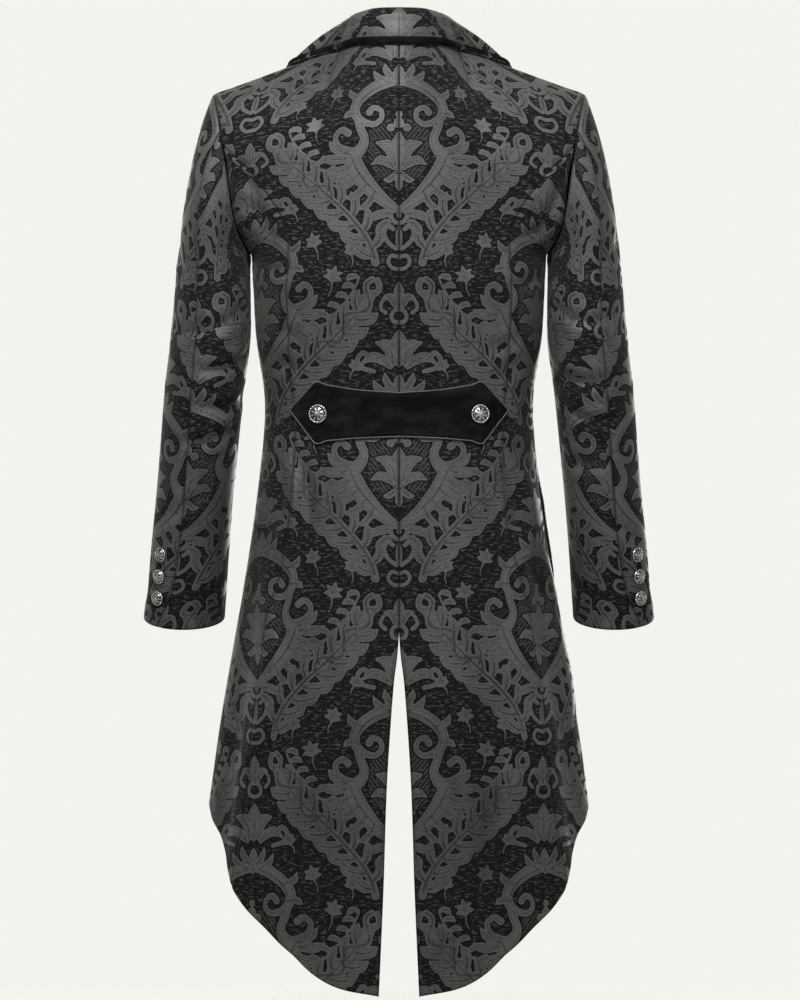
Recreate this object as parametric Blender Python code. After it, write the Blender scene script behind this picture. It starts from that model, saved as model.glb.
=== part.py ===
"""Tailcoat in woven damask, filled out as if worn. The front faces -Y and the tails hang down -Z.

The origin lies between the shoulders, level with the neck seam, where a wearer carries the coat.
Sizes are in millimetres and become metres where a mesh is made. Left is the wearer's left, +X.
"""

import math

import bmesh
import bpy
from mathutils import Matrix, Vector

MM = 0.001
CLOTH = 1.8
SEAM_GAP = 0.36
SHARP_ANGLE = 40
VELVET = 2.2
COLLAR_CLOTH = 2.0
BELT_LIFT = 1.1

# Rings of the body from the tail tips up to the level where the yoke starts.
SECTIONS = (
    # height, half_width, back_depth, front_depth, squareness
    (-1135, 264.0, 150, 150, 2.2),
    (-1000, 245.0, 146, 146, 2.2),
    (-900, 229.3, 141, 141, 2.25),
    (-800, 215.0, 135, 134, 2.3),
    (-700, 198.0, 129, 127, 2.3),
    (-600, 181.0, 121, 118, 2.3),
    (-520, 170.0, 109, 109, 2.35),
    (-440, 162.0, 95, 103, 2.35),
    (-400, 163.0, 94, 104, 2.4),
    (-340, 172.0, 102, 112, 2.45),
    (-270, 176.0, 115, 121, 2.5),
)
YOKE = -270.0
WAIST = -430.0

# Centre line of the back above the yoke line, up to the neck seam.
SPINE = (
    # height, depth
    (-270, 115),
    (-200, 120),
    (-140, 118),
    (-80, 108),
    (-30, 89),
    (0, 74),
    (22, 62),
)

# Crease where a front turns back into its lapel, from the top of the closing to the neck.
ROLL_LINE = (
    # height, half_width, depth
    (-300, 0.8, -118),
    (-270, 7.0, -121),
    (-200, 23.0, -121),
    (-140, 37.0, -114),
    (-80, 51.0, -98),
    (-40, 60.0, -75),
    (-12, 66.0, -40),
    (14, 68.0, -8),
)
CLOSING_TOP = -300.0
CLOSING_CORNER = -316.0
UNDERLAP = 16.0
LAP_LIFT = 3.2
LAP_WIDTH = (36.0, 66.0)
LAP_HEIGHT = (-284.0, -296.0)

# Armhole, an upright loop on each side of the body.
ARMHOLE_HEIGHT = (-240.0, -44.0)
ARMHOLE_DEPTH = (60.0, 57.0)
ARMHOLE_MIDDLE = -3.0
ARMHOLE_SQUARENESS = 2.15
ARMHOLE_HOLLOW = 9.0
ARMHOLE_WIDTH = (
    # height, half_width
    (-240, 178),
    (-228, 185),
    (-204, 196),
    (-139, 206),
    (-90, 214),
    (-44, 223),
)
ARMHOLE_START = 0.1
LOCAL_BEND = 1.8
TOP_SHARPNESS = 4
LOCAL_BEND_ENDS = (0.2, 0.75)

NECK_SIDE = (68.0, -8.0, 14.0)
NECK_BACK = (62.0, 22.0)
NECK_SHARE = 0.4

# Above the yoke line the walls are thick away from a dome: where it takes over, its middle, its widening.
DOME_START = -210.0
DOME_MIDDLE = -120.0
DOME_WIDENING = 0.34

# Side-back seam and the half width of the opening below the centre-back seam.
SIDE_BACK_SEAM = (
    # height, half_width
    (-1000, 196),
    (-915, 180),
    (-840, 171),
    (-770, 167),
    (-667, 152),
    (-560, 130),
    (-430, 126),
    (-387, 131),
    (-270, 136),
)
VENT_TOP = -707.0
VENT = (
    # height, half_width
    (-1130, 24.2),
    (-1000, 18.5),
    (-880, 14.6),
    (-800, 9.8),
    (-740, 4.8),
    (-707, 0.0),
)
SEAM_TO_ARMHOLE = 0.64
SEAM_TIP_SHARE = 0.996
SEAM_CURVE = 3.2

# Lower edge all round: the tail tip, the sweep to the side, and the cut-away front.
HEM_BACK = (
    # half_width, height
    (24, -1126),
    (72, -1116),
    (106, -1098),
    (127, -1080),
    (148, -1062),
    (176, -1026),
    (198, -990),
    (216, -954),
    (226, -921),
    (229.3, -900),
)
HEM_FRONT = (
    # angle, height
    (90, -900),
    (102, -862),
    (115, -806),
    (130, -724),
    (145, -636),
    (158, -562),
    (168, -512),
    (176, -480),
    (190, -462),
)

# Soft folds of the skirt: where they run, how wide, and how far they stand out at the lower edge.
FOLDS = (
    # angle, half_angle, stand_out
    (14, 10, 4.0),
    (31, 12, -6.0),
    (48, 12, 9.0),
    (67, 13, -8.0),
    (108, 13, -7.0),
    (126, 12, 8.0),
    (146, 12, -6.0),
)
FOLD_TOP = -470.0
FOLD_FULL = -880.0

# Sleeve rings below the sleeve head.
SLEEVE = (
    # height, middle_x, middle_y, half_width, half_depth
    (-720, 261.0, -50, 49.5, 43),
    (-672, 259.8, -43, 49.3, 44),
    (-648, 256.8, -38, 48.0, 45),
    (-594, 252.6, -28, 47.4, 48),
    (-522, 246.0, -17, 46.8, 52),
    (-450, 239.4, -8, 47.4, 57),
    (-400, 234.9, -4, 48.2, 60),
    (-342, 227.6, -2, 48.6, 63),
    (-290, 225.0, -3, 46.3, 65),
)
SLEEVE_HEAD_END = -290.0
HEAD_SHARED = 0.4
# How far the sleeve head leans out as it leaves the armhole: all round, at the shoulder, front and back.
HEAD_SPREAD = (0.25, 0.17, 0.45)
HEAD_DEPTH_SPREAD = 0.15
SHORT_WAY = 20.0
SHORT_TURN = 3.0
SHORT_SHARE = 0.04
CUFF_HEIGHT = -676.0
CUFF_SLANT = 15.0
SLEEVE_GAP = 1.2

# Where the two sleeve pieces meet, as angles from the back toward the outer side.
HIND_SEAM = (
    # height, angle
    (-700, 44),
    (-686, 38),
    (-655, 24),
    (-610, 17),
    (-570, 15),
    (-450, 17),
    (-318, 22),
    (-150, 30),
)
FORE_SEAM_ANGLE = 205.0

# The collar's fold at stations from the centre back to its front end.
COLLAR_ROLL = (
    # station, x, y, z
    (0.00, 0.0, 57, 58.0),
    (0.14, 28.0, 51, 57.3),
    (0.29, 50.0, 33, 52.6),
    (0.44, 61.5, 8, 48.0),
    (0.55, 65.0, -10, 44.5),
    (0.70, 67.0, -38, 27.0),
    (0.85, 64.5, -62, 0.0),
    (1.00, 58.0, -84, -33.0),
)
# The collar's free edge as it lies on the back and then on the chest.
COLLAR_EDGE_BACK = (
    # station, half_width, height
    (0.00, 0.0, 10.0),
    (0.14, 38.0, 10.2),
    (0.19, 50.0, 9.6),
    (0.24, 60.0, 8.0),
    (0.28, 67.0, 6.5),
    (0.32, 74.0, 5.2),
    (0.38, 90.0, 1.5),
    (0.44, 109.0, -3.5),
    (0.50, 131.0, -11.0),
)
COLLAR_EDGE_FRONT = (
    # station, half_width, height
    (0.50, 131.0, -11.0),
    (0.60, 136.0, -20.5),
    (0.72, 137.0, -40.0),
    (0.86, 131.0, -58.0),
    (1.00, 119.0, -71.0),
)
COLLAR_SHOULDER = 0.5
COLLAR_END_HEIGHT = -38.0
COLLAR_LIFT = 3.9
COLLAR_FOLD = 3.2
COLLAR_SWELL = 3.0
COLLAR_CREST_DROP = 2.4
STAND_SEAM_GAP = 0.6
BAND_WIDTH = 8.5
BAND_CLOTH = 1.2
BAND_LIFT = 0.5

# The lapel, as its width across the front from the roll line.
LAPEL = (
    # height, width
    (-298, 5),
    (-270, 22),
    (-220, 48),
    (-160, 72),
    (-110, 86),
    (-84, 88),
    (-40, 60),
)
LAPEL_LEVELS = (
    ("body", -298),
    ("body", -284),
    ("yoke", 0.0),
    ("yoke", 0.1),
    ("yoke", 0.2),
    ("yoke", 0.3),
    ("yoke", 0.41),
    ("yoke", 0.52),
    ("yoke", 0.64),
    ("yoke", 0.76),
    ("yoke", 0.84),
)
LAPEL_TOP = 0.84
GORGE_SLOPE = 0.04
NOTCH_START = 0.5
NOTCH_DROP = 0.09
LAPEL_LIFT = 1.5
LAPEL_CLOTH = 2.0

# The half belt on the back of the waist.
BELT = (
    # half_width, top, bottom
    (0, -405.6, -458.0),
    (50, -402.0, -460.0),
    (85, -396.5, -463.0),
    (101, -393.6, -465.0),
    (129, -424.8, -427.4),
)
BELT_COLUMNS = (0, 17, 34, 51, 68, 85, 101, 115, 129)
BELT_ROWS = 3

# Buttons: a turned disc with a rim and a raised middle.
BUTTON_PROFILE = (
    # radius_share, height_share
    (0.0, 0.0),
    (0.92, 0.0),
    (1.0, 0.16),
    (0.97, 0.42),
    (0.84, 0.5),
    (0.78, 0.4),
    (0.45, 0.84),
    (0.0, 1.0),
)
BUTTON_SIDES = 14
# Diameter, height, and how far the flat back stands off the smooth form of its cloth.
BELT_BUTTON = (22.9, 6.4, 0.9)
CUFF_BUTTON = (17.6, 5.2, 0.4)
FRONT_BUTTON = (20.0, 5.6, 0.9)
BELT_BUTTON_PLACE = (95.6, -430.7)
CUFF_BUTTON_PLACES = ((-600.0, 45.5), (-626.4, 45.5), (-652.8, 44.0))
FRONT_BUTTON_HEIGHTS = (-328.0, -384.0, -440.0)
SAME_PLACE = 0.001

# How finely the walls are divided.
NECK_COLUMNS = 3
SHOULDER_SHARES = (0.0, 0.13, 0.28, 0.46, 0.64, 0.82, 1.0)
SIDE_COLUMNS = 4
YOKE_ROWS = (0.0, 0.1, 0.19, 0.28, 0.37, 0.46, 0.55, 0.64, 0.74, 0.84, 0.92, 0.97, 1.0)
BODY_ROWS = (-270, -300, -316, -345, -375, -402, -430)
SKIRT_ROWS = 11
TOP_SLEEVE_COLUMNS = 8
UNDER_SLEEVE_COLUMNS = 6
HEAD_ROWS = 5
ARM_ROWS = 9
COLLAR_COLUMNS = 16
LAPEL_COLUMNS = 4
LEAF_MIDDLE = 0.5
BISECTIONS = 24
HEM_REPEATS = 12


def track(rows, column, at, key=0):
    """A smooth value of one column of a table at a value of its key column."""
    rows = sorted(rows, key=lambda row: row[key])
    at = min(max(at, rows[0][key]), rows[-1][key])
    i = max(k for k in range(len(rows) - 1) if rows[k][key] <= at)
    low, high = rows[i], rows[i + 1]
    span = high[key] - low[key]

    def slope(k):
        before, after = rows[max(k - 1, 0)], rows[min(k + 1, len(rows) - 1)]
        return (after[column] - before[column]) / (after[key] - before[key])

    t = (at - low[key]) / span
    start, end = slope(i) * span, slope(i + 1) * span
    rise = high[column] - low[column]
    bend = t * (1 - t) * ((1 - t) * (start - rise) - t * (end - rise))
    return low[column] + rise * t + bend


def ease(low, high, at):
    """0 at low, 1 at high, smooth between them, whichever is larger."""
    t = min(max((at - low) / (high - low), 0.0), 1.0)
    return t * t * (3 - 2 * t)


def power(value, exponent):
    return math.copysign(abs(value) ** exponent, value)


def fold(angle, height):
    """How far the skirt stands out from its plain ring."""
    fullness = ease(FOLD_TOP, FOLD_FULL, height)
    total = 0.0
    for middle, half, stand_out in FOLDS:
        near = max(0.0, 1 - ((angle - middle) / half) ** 2)
        total += stand_out * near * near
    return total * fullness


def ring(angle, height):
    """A point of the body below the yoke; the angle runs from the centre back over the side to the front."""
    half_width = track(SECTIONS, 1, height)
    depth = track(SECTIONS, 2 if angle <= 90 else 3, height)
    share = 2 / track(SECTIONS, 4, height)
    turn = math.radians(angle)
    stand_out = fold(angle, height)
    x = (half_width + stand_out) * power(math.sin(turn), share)
    y = (depth + stand_out) * power(math.cos(turn), share)
    return Vector((x, y, height))


def angle_at(x, height, front=False):
    """The ring angle of a half width."""
    half_width = track(SECTIONS, 1, height)
    share = track(SECTIONS, 4, height) / 2
    angle = math.degrees(math.asin(min(abs(x) / half_width, 1.0) ** share))
    angle = math.copysign(angle, x)
    return 180 - angle if front else angle


def armhole(turn, front):
    """A point of the armhole; the turn runs from -90 at the underarm to 90 at the shoulder tip."""
    low, high = ARMHOLE_HEIGHT
    share = 2 / ARMHOLE_SQUARENESS
    across, up = math.cos(math.radians(turn)), math.sin(math.radians(turn))
    z = (low + high) / 2 + (high - low) / 2 * power(up, share)
    reach = max(across, 0.0) ** share
    y = ARMHOLE_MIDDLE + (-ARMHOLE_DEPTH[1] if front else ARMHOLE_DEPTH[0]) * reach
    x = track(ARMHOLE_WIDTH, 1, z) - (ARMHOLE_HOLLOW * reach if front else 0.0)
    return Vector((x, y, z))


def yoke_side(up, front):
    """The outer border of the yoke: from the yoke line to the underarm, then round the armhole."""
    if up < ARMHOLE_START:
        return ring(90, YOKE).lerp(armhole(-90, front), up / ARMHOLE_START)
    return armhole(-90 + 180 * (up - ARMHOLE_START) / (1 - ARMHOLE_START), front)


def yoke_height(up, top):
    """Height of the inner border of the yoke, level with the armhole at the underarm and half-way up it."""
    middle = sum(ARMHOLE_HEIGHT) / 2
    half_way = (1 + ARMHOLE_START) / 2
    return track(((0, YOKE), (ARMHOLE_START, ARMHOLE_HEIGHT[0]), (half_way, middle), (1, top)), 1, up)


def shoulder(share):
    """The shoulder seam from the side of the neck to the shoulder tip."""
    return Vector(NECK_SIDE).lerp(armhole(90, False), share)


def neck_seam(share):
    """The back neck seam from the centre back to the side of the neck."""
    turn = math.radians(90 * share)
    x, y, z = NECK_SIDE
    back_y, back_z = NECK_BACK
    return Vector((x * math.sin(turn), y + (back_y - y) * math.cos(turn), back_z + (z - back_z) * share))


def four_sided(across, up, bottom, top, inner, outer):
    """A point of the smooth patch that fills four border curves.

    The top one's corners fade out below it, and low down the outer one acts near itself only.
    """
    straight = top(0).lerp(top(1), across)
    plain = bottom(across) * (1 - up) + straight * up + (top(across) - straight) * up**TOP_SHARPNESS
    inner_bend = inner(up) - (inner(0) * (1 - up) + inner(1) * up)
    outer_bend = outer(up) - (outer(0) * (1 - up) + outer(1) * up)
    nearness = 1 + LOCAL_BEND * (1 - ease(*LOCAL_BEND_ENDS, up))
    return plain + inner_bend * (1 - across) + outer_bend * across**nearness


def yoke_back(across, up):
    """The upper back, from the centre-back seam to the armhole and from the yoke line to the shoulder."""

    def spine(at):
        height = yoke_height(at, NECK_BACK[1])
        return Vector((0.0, track(SPINE, 1, height), height))

    def top(at):
        if at < NECK_SHARE:
            return neck_seam(at / NECK_SHARE)
        return shoulder((at - NECK_SHARE) / (1 - NECK_SHARE))

    def bottom(at):
        return ring(90 * at, YOKE)

    return four_sided(across, up, bottom, top, spine, lambda at: yoke_side(at, False))


def yoke_front(across, up):
    """The chest, from the roll line to the armhole and from the yoke line to the shoulder."""
    edge_angle = angle_at(track(ROLL_LINE, 1, YOKE), YOKE, front=True)

    def roll(at):
        height = yoke_height(at, NECK_SIDE[2])
        return Vector((track(ROLL_LINE, 1, height), track(ROLL_LINE, 2, height), height))

    def bottom(at):
        return ring(edge_angle + (90 - edge_angle) * at, YOKE)

    return four_sided(across, up, bottom, shoulder, roll, lambda at: yoke_side(at, True))


def outward(point):
    """The direction in which every body wall is thick, shared by all panels so that seams stay parallel."""
    if point.z <= YOKE:
        half_width = track(SECTIONS, 1, point.z)
        depth = track(SECTIONS, 2 if point.y > 0 else 3, point.z)
        steep = track(SECTIONS, 4, point.z)
        x = power(point.x / half_width, steep - 1) / half_width
        y = power(point.y / depth, steep - 1) / depth
        return Vector((x, y, 0.0)).normalized()
    level = min(point.z, DOME_MIDDLE)
    upper = Vector((point.x * DOME_WIDENING, point.y, point.z - level)).normalized()
    lower = outward(Vector((point.x, point.y, YOKE)))
    return lower.lerp(upper, ease(YOKE, DOME_START, point.z)).normalized()


def hem_height(angle):
    """Height of the lower edge at a ring angle."""
    if angle >= 90:
        return track(HEM_FRONT, 1, angle)
    low, high = HEM_FRONT[0][1], HEM_BACK[0][1]
    for _ in range(BISECTIONS):
        middle = (low + high) / 2
        x = track(SECTIONS, 1, middle) * power(math.sin(math.radians(angle)), 2 / track(SECTIONS, 4, middle))
        edge = track(HEM_BACK, 1, x)
        if middle > edge:
            low = middle
        else:
            high = middle
    return (low + high) / 2


def centre_back_angle(height):
    return angle_at(track(VENT, 1, height) if height < VENT_TOP else 0.0, height)


def side_back_angle(height):
    return angle_at(track(SIDE_BACK_SEAM, 1, height), height)


def front_edge_angle(height):
    """Where a front ends: at the roll line above the closing, and past the centre below it."""
    if height > CLOSING_TOP:
        return angle_at(track(ROLL_LINE, 1, height), height, front=True)
    past = UNDERLAP * ease(CLOSING_TOP, CLOSING_CORNER, height) - ROLL_LINE[0][1]
    return angle_at(-past, height, front=True)


def skirt_point(share, drop, first, last):
    """A point of a panel between two seams, a share of the way from the waist down to the lower edge."""
    bottom = hem_height(first(WAIST) + (last(WAIST) - first(WAIST)) * share)
    for _ in range(HEM_REPEATS):
        bottom = hem_height(first(bottom) + (last(bottom) - first(bottom)) * share)
    height = WAIST + (bottom - WAIST) * drop
    return ring(first(height) + (last(height) - first(height)) * share, height)


def beside(point, toward):
    """The point moved along its wall by half a seam gap."""
    way = toward - point
    return point + way.normalized() * (SEAM_GAP / 2)


def panel_rows(point_at, shares, levels):
    """Grid of points of a panel, with its borders drawn in by half a seam gap."""
    grid = []
    for level in levels:
        row = [point_at(share, level) for share in shares]
        first, last = beside(row[0], row[1]), beside(row[-1], row[-2])
        grid.append([first] + row[1:-1] + [last])
    for edge, inner in ((0, 1), (-1, -2)):
        grid[edge] = [beside(point, toward) for point, toward in zip(grid[edge], grid[inner])]
    return grid


def make_object(name, shell, material, side=1):
    """Turns a finished bmesh, in millimetres, into a named object in metres."""
    bmesh.ops.transform(shell, matrix=Matrix.Diagonal((side * MM, MM, MM, 1)), verts=shell.verts)
    bmesh.ops.recalc_face_normals(shell, faces=shell.faces)
    mesh = bpy.data.meshes.new(name)
    shell.to_mesh(mesh)
    shell.free()
    mesh.shade_smooth()
    mesh.set_sharp_from_angle(angle=math.radians(SHARP_ANGLE))
    mesh.materials.append(material)
    made = bpy.data.objects.new(name, mesh)
    bpy.context.scene.collection.objects.link(made)
    return made


def make_wall(name, outer, inner, material, side=1):
    """One closed cloth wall between an outer and an inner grid of points."""
    rows, columns = len(outer) - 1, len(outer[0]) - 1
    shell = bmesh.new()
    bmesh.ops.create_grid(shell, x_segments=columns, y_segments=rows, size=0.5)
    extruded = bmesh.ops.extrude_face_region(shell, geom=shell.faces[:], use_keep_orig=True)
    inside = {item for item in extruded["geom"] if isinstance(item, bmesh.types.BMVert)}
    for vert in shell.verts:
        row, column = round((vert.co.y + 0.5) * rows), round((vert.co.x + 0.5) * columns)
        vert.co = inner[row][column] if vert in inside else outer[row][column]
    return make_object(name, shell, material, side)


def body_wall(name, grid, material, side, thickness=CLOTH):
    inner = [[point - outward(point) * thickness for point in row] for row in grid]
    return make_wall(name, grid, inner, material, side)


def cloth_material(name, colour, roughness, metallic=0.0):
    material = bpy.data.materials.new(name)
    material.use_nodes = True
    finish = material.node_tree.nodes["Principled BSDF"]
    finish.inputs["Base Color"].default_value = (*colour, 1)
    finish.inputs["Roughness"].default_value = roughness
    finish.inputs["Metallic"].default_value = metallic
    return material


def seam_share(up):
    """How far across the yoke the side-back seam has run at this level, until it meets the armhole."""
    start = side_back_angle(YOKE) / 90
    if up > SEAM_TO_ARMHOLE:
        return 1.0
    return start + (SEAM_TIP_SHARE - start) * (up / SEAM_TO_ARMHOLE) ** SEAM_CURVE


def make_back(side, name, material):
    neck = [NECK_SHARE * i / NECK_COLUMNS for i in range(NECK_COLUMNS)]
    rest = [NECK_SHARE + (1 - NECK_SHARE) * share for share in SHOULDER_SHARES]
    shares = neck + rest

    def point_at(share, level):
        kind, value = level
        if kind == "yoke":
            return yoke_back(share * seam_share(value), value)
        if kind == "body":
            first, last = centre_back_angle(value), side_back_angle(value)
            return ring(first + (last - first) * share, value)
        return skirt_point(share, value, centre_back_angle, side_back_angle)

    levels = [("yoke", value) for value in reversed(YOKE_ROWS)]
    levels += lower_levels()
    body_wall(name, panel_rows(point_at, shares, levels), material, side)


def lower_levels():
    body = [("body", height) for height in BODY_ROWS[1:]]
    return body + [("skirt", (i + 1) / SKIRT_ROWS) for i in range(SKIRT_ROWS)]


def make_side(side, name, material):
    shares = [i / SIDE_COLUMNS for i in range(SIDE_COLUMNS + 1)]

    def point_at(share, level):
        kind, value = level
        if kind == "yoke":
            start = seam_share(value)
            return yoke_back(start + (1 - start) * share, value)
        if kind == "body":
            first = side_back_angle(value)
            return ring(first + (90 - first) * share, value)
        return skirt_point(share, value, side_back_angle, lambda height: 90.0)

    levels = [("yoke", value) for value in reversed(YOKE_ROWS) if value <= SEAM_TO_ARMHOLE]
    body_wall(name, panel_rows(point_at, shares, levels + lower_levels()), material, side)


def front_point(share, level):
    """A point of a front: the share runs from the roll line or edge to the side seam."""
    kind, value = level
    if kind == "yoke":
        return yoke_front(share, value)
    if kind == "body":
        first = front_edge_angle(value)
        return ring(first + (90 - first) * share, value)
    return skirt_point(share, value, front_edge_angle, lambda height: 90.0)


def lap(point):
    """Lifts the left front where it lies over the right one."""
    near = ease(LAP_WIDTH[1], LAP_WIDTH[0], point.x) * ease(*LAP_HEIGHT, point.z)
    return point + outward(point) * (LAP_LIFT * near)


def make_front(side, name, material):
    levels = [("yoke", value) for value in reversed(YOKE_ROWS)] + lower_levels()
    grid = panel_rows(front_point, SHOULDER_SHARES, levels)
    if side > 0:
        grid = [[lap(point) for point in row] for row in grid]
    body_wall(name, grid, material, side)


def arc_share(point_at, width):
    """The share at which a row of points has run a given width from its start."""
    low, high = 0.0, 1.0
    for _ in range(BISECTIONS):
        middle = (low + high) / 2
        if (point_at(middle) - point_at(0.0)).length < width:
            low = middle
        else:
            high = middle
    return low


def lapel_point(share, level):
    """A point of the front under the lapel; the share runs from the roll line to the lapel's free edge."""
    kind, value = level
    width = track(LAPEL, 1, front_point(0.0, level).z)
    across = share * arc_share(lambda at: front_point(at, level), width)
    if kind == "yoke":
        drop = GORGE_SLOPE * share + NOTCH_DROP * ease(NOTCH_START, 1.0, share)
        value = max(value - drop * (value / LAPEL_TOP) ** 3, 0.0)
    return front_point(across, (kind, value))


def make_lapel(side, name, material):
    """The turned-back chest edge, which lies on the front."""
    outer, inner = [], []
    for level in LAPEL_LEVELS:
        points = [lapel_point(i / LAPEL_COLUMNS, level) for i in range(LAPEL_COLUMNS + 1)]
        if side > 0:
            points = [lap(point) for point in points]
        outer.append([point + outward(point) * (LAPEL_LIFT + LAPEL_CLOTH) for point in points])
        inner.append([point + outward(point) * LAPEL_LIFT for point in points])
    make_wall(name, outer, inner, material, side)


def sleeve_ring(turn, height):
    """A point of the arm of the sleeve; the turn runs from the back, over the outer side, to the front."""
    middle_x, middle_y, half_width, half_depth = (track(SLEEVE, column, height) for column in (1, 2, 3, 4))
    angle = math.radians(turn)
    return Vector((middle_x + half_width * math.sin(angle), middle_y + half_depth * math.cos(angle), height))


def sleeve_start(turn):
    """A point of the sleeve's upper edge, just outside the armhole."""
    turn = (turn + 90) % 360 - 90
    point = armhole(turn, False) if turn <= 90 else armhole(180 - turn, True)
    return point + Vector((SLEEVE_GAP, 0.0, 0.0))


def sleeve_point(turn, along):
    """A point of the sleeve: along runs 0 to 1 down the sleeve head, and 1 to 2 from there to the cuff."""
    if along > 1:
        bottom = CUFF_HEIGHT - CUFF_SLANT * math.cos(math.radians(turn))
        return sleeve_ring(turn, SLEEVE_HEAD_END + (bottom - SLEEVE_HEAD_END) * (along - 1))
    angle = math.radians(turn)
    start, end = sleeve_start(turn), sleeve_ring(turn, SLEEVE_HEAD_END)
    across = math.cos(angle)
    spread = HEAD_SPREAD[0] + HEAD_SPREAD[1] * math.sin(angle) + HEAD_SPREAD[2] * across * across
    leave = Vector((spread, HEAD_DEPTH_SPREAD * across, -1.0)).normalized()
    arrive = (sleeve_ring(turn, SLEEVE_HEAD_END - SHORT_WAY) - end).normalized()
    reach, t = (end - start).length, along
    place = start * (2 * t**3 - 3 * t**2 + 1) + end * (3 * t**2 - 2 * t**3)
    return place + leave * (reach * (t**3 - 2 * t**2 + t)) + arrive * (reach * (t**3 - t**2))


def sleeve_outward(turn, along):
    """The direction in which the sleeve's wall is thick, away from the arm."""
    low, high = max(along - SHORT_SHARE, 0.0), min(along + SHORT_SHARE, 2.0)
    down = sleeve_point(turn, high) - sleeve_point(turn, low)
    around = sleeve_point(turn + SHORT_TURN, along) - sleeve_point(turn - SHORT_TURN, along)
    way = around.cross(down).normalized()
    body = outward(sleeve_start(turn))
    shared = max(1 - along / HEAD_SHARED, 0.0) * (1 + math.sin(math.radians(turn))) / 2
    return way.lerp(body, shared).normalized()


def hind_seam(along):
    """The turn at which the two sleeve pieces meet behind the arm."""
    if along <= 1:
        return track(HIND_SEAM, 1, HIND_SEAM[-1][0] + (SLEEVE_HEAD_END - HIND_SEAM[-1][0]) * along)
    bottom = CUFF_HEIGHT - CUFF_SLANT
    return track(HIND_SEAM, 1, SLEEVE_HEAD_END + (bottom - SLEEVE_HEAD_END) * (along - 1))


def make_sleeve_piece(side, name, material, columns, first, last):
    """One of the two pieces of a sleeve, between the turns that first and last give at each level."""
    outer, inner = [], []
    levels = [i / HEAD_ROWS for i in range(HEAD_ROWS)] + [1 + i / ARM_ROWS for i in range(ARM_ROWS + 1)]
    for along in levels:
        start, end = first(along), last(along)
        turns = [start + (end - start) * i / columns for i in range(columns + 1)]
        points = [sleeve_point(turn, along) for turn in turns]
        points[0], points[-1] = beside(points[0], points[1]), beside(points[-1], points[-2])
        outer.append(points)
        inner.append([point - sleeve_outward(turn, along) * CLOTH for point, turn in zip(points, turns)])
    make_wall(name, outer, inner, material, side)


def make_sleeve(side, name, material):
    def fore_seam(along):
        return FORE_SEAM_ANGLE

    def hind_seam_again(along):
        return 360 + hind_seam(along)

    top, under = f"top_sleeve_{name}", f"under_sleeve_{name}"
    make_sleeve_piece(side, top, material, TOP_SLEEVE_COLUMNS, hind_seam, fore_seam)
    make_sleeve_piece(side, under, material, UNDER_SLEEVE_COLUMNS, fore_seam, hind_seam_again)


def collar_seam(station):
    """The seam that carries the collar: the back neck, then down the chest edge."""
    if station < COLLAR_SHOULDER:
        return neck_seam(station / COLLAR_SHOULDER)
    share = (station - COLLAR_SHOULDER) / (1 - COLLAR_SHOULDER)
    height = NECK_SIDE[2] + (COLLAR_END_HEIGHT - NECK_SIDE[2]) * share
    return Vector((track(ROLL_LINE, 1, height), track(ROLL_LINE, 2, height), height))


def collar_roll(station):
    return Vector([track(COLLAR_ROLL, column, station) for column in (1, 2, 3)])


def neckward(station):
    """The level direction from the collar's fold to the neck."""
    roll = collar_roll(station)
    return Vector((-roll.x, NECK_SIDE[1] - roll.y, 0.0)).normalized()


def lying_on(yoke, x, height):
    """The point of a yoke patch at a half width and a height."""
    low, high = 0.0, 1.0
    for _ in range(BISECTIONS):
        up = (low + high) / 2
        left, right = (0.0, 1.0)
        for _ in range(BISECTIONS):
            across = (left + right) / 2
            if yoke(across, up).x < x:
                left = across
            else:
                right = across
        if yoke(across, up).z < height:
            low = up
        else:
            high = up
    return yoke(across, up)


def collar_edge(station):
    """The collar's free edge, lying on the body."""
    behind = station < COLLAR_SHOULDER
    rows = COLLAR_EDGE_BACK if behind else COLLAR_EDGE_FRONT
    yoke = yoke_back if behind else yoke_front
    point = lying_on(yoke, track(rows, 1, station), track(rows, 2, station))
    return point + outward(point) * COLLAR_LIFT


def collar_leaf(station, drop):
    """A point of the collar's outer leaf, from its fold (0) to its free edge (1), and the way out of it."""
    start = collar_roll(station) - neckward(station) * COLLAR_FOLD - Vector((0, 0, COLLAR_CREST_DROP))
    end = collar_edge(station)
    run = (end - start).normalized()
    way = -neckward(station) + Vector((0, 0, 1))
    way = (way - run * way.dot(run)).normalized()
    return start.lerp(end, drop) + way * (COLLAR_SWELL * 4 * drop * (1 - drop)), way


def band_start(station):
    """How far down the collar's leaf its edge band begins."""
    return 1 - BAND_WIDTH / (collar_leaf(station, 1.0)[0] - collar_leaf(station, 0.0)[0]).length


def collar_section(station):
    """Outer and inner points of the collar at a station: up the stand, over the fold, down the leaf."""
    seam, roll, inward = collar_seam(station), collar_roll(station), neckward(station)
    crest = roll + inward * COLLAR_FOLD - Vector((0, 0, COLLAR_CREST_DROP))
    base = seam + Vector((0, 0, STAND_SEAM_GAP))
    stand = [base, base.lerp(crest, 0.5), crest]
    outer = stand + [roll]
    inner = [point - inward * COLLAR_CLOTH for point in stand] + [roll - Vector((0, 0, COLLAR_CLOTH))]
    for drop in (0.0, LEAF_MIDDLE * band_start(station), band_start(station), 1.0):
        point, way = collar_leaf(station, drop)
        outer.append(point)
        inner.append(point - way * COLLAR_CLOTH)
    return outer, inner


def both_sides(section):
    """Sections of a piece that runs across the centre back, from its left end to its right end."""
    stations = [1 - i / COLLAR_COLUMNS for i in range(COLLAR_COLUMNS + 1)]
    half = [section(station) for station in stations]
    mirrored = [[[Vector((-p.x, p.y, p.z)) for p in points] for points in pair] for pair in half[-2::-1]]
    return [list(pair) for pair in half] + mirrored


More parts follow.
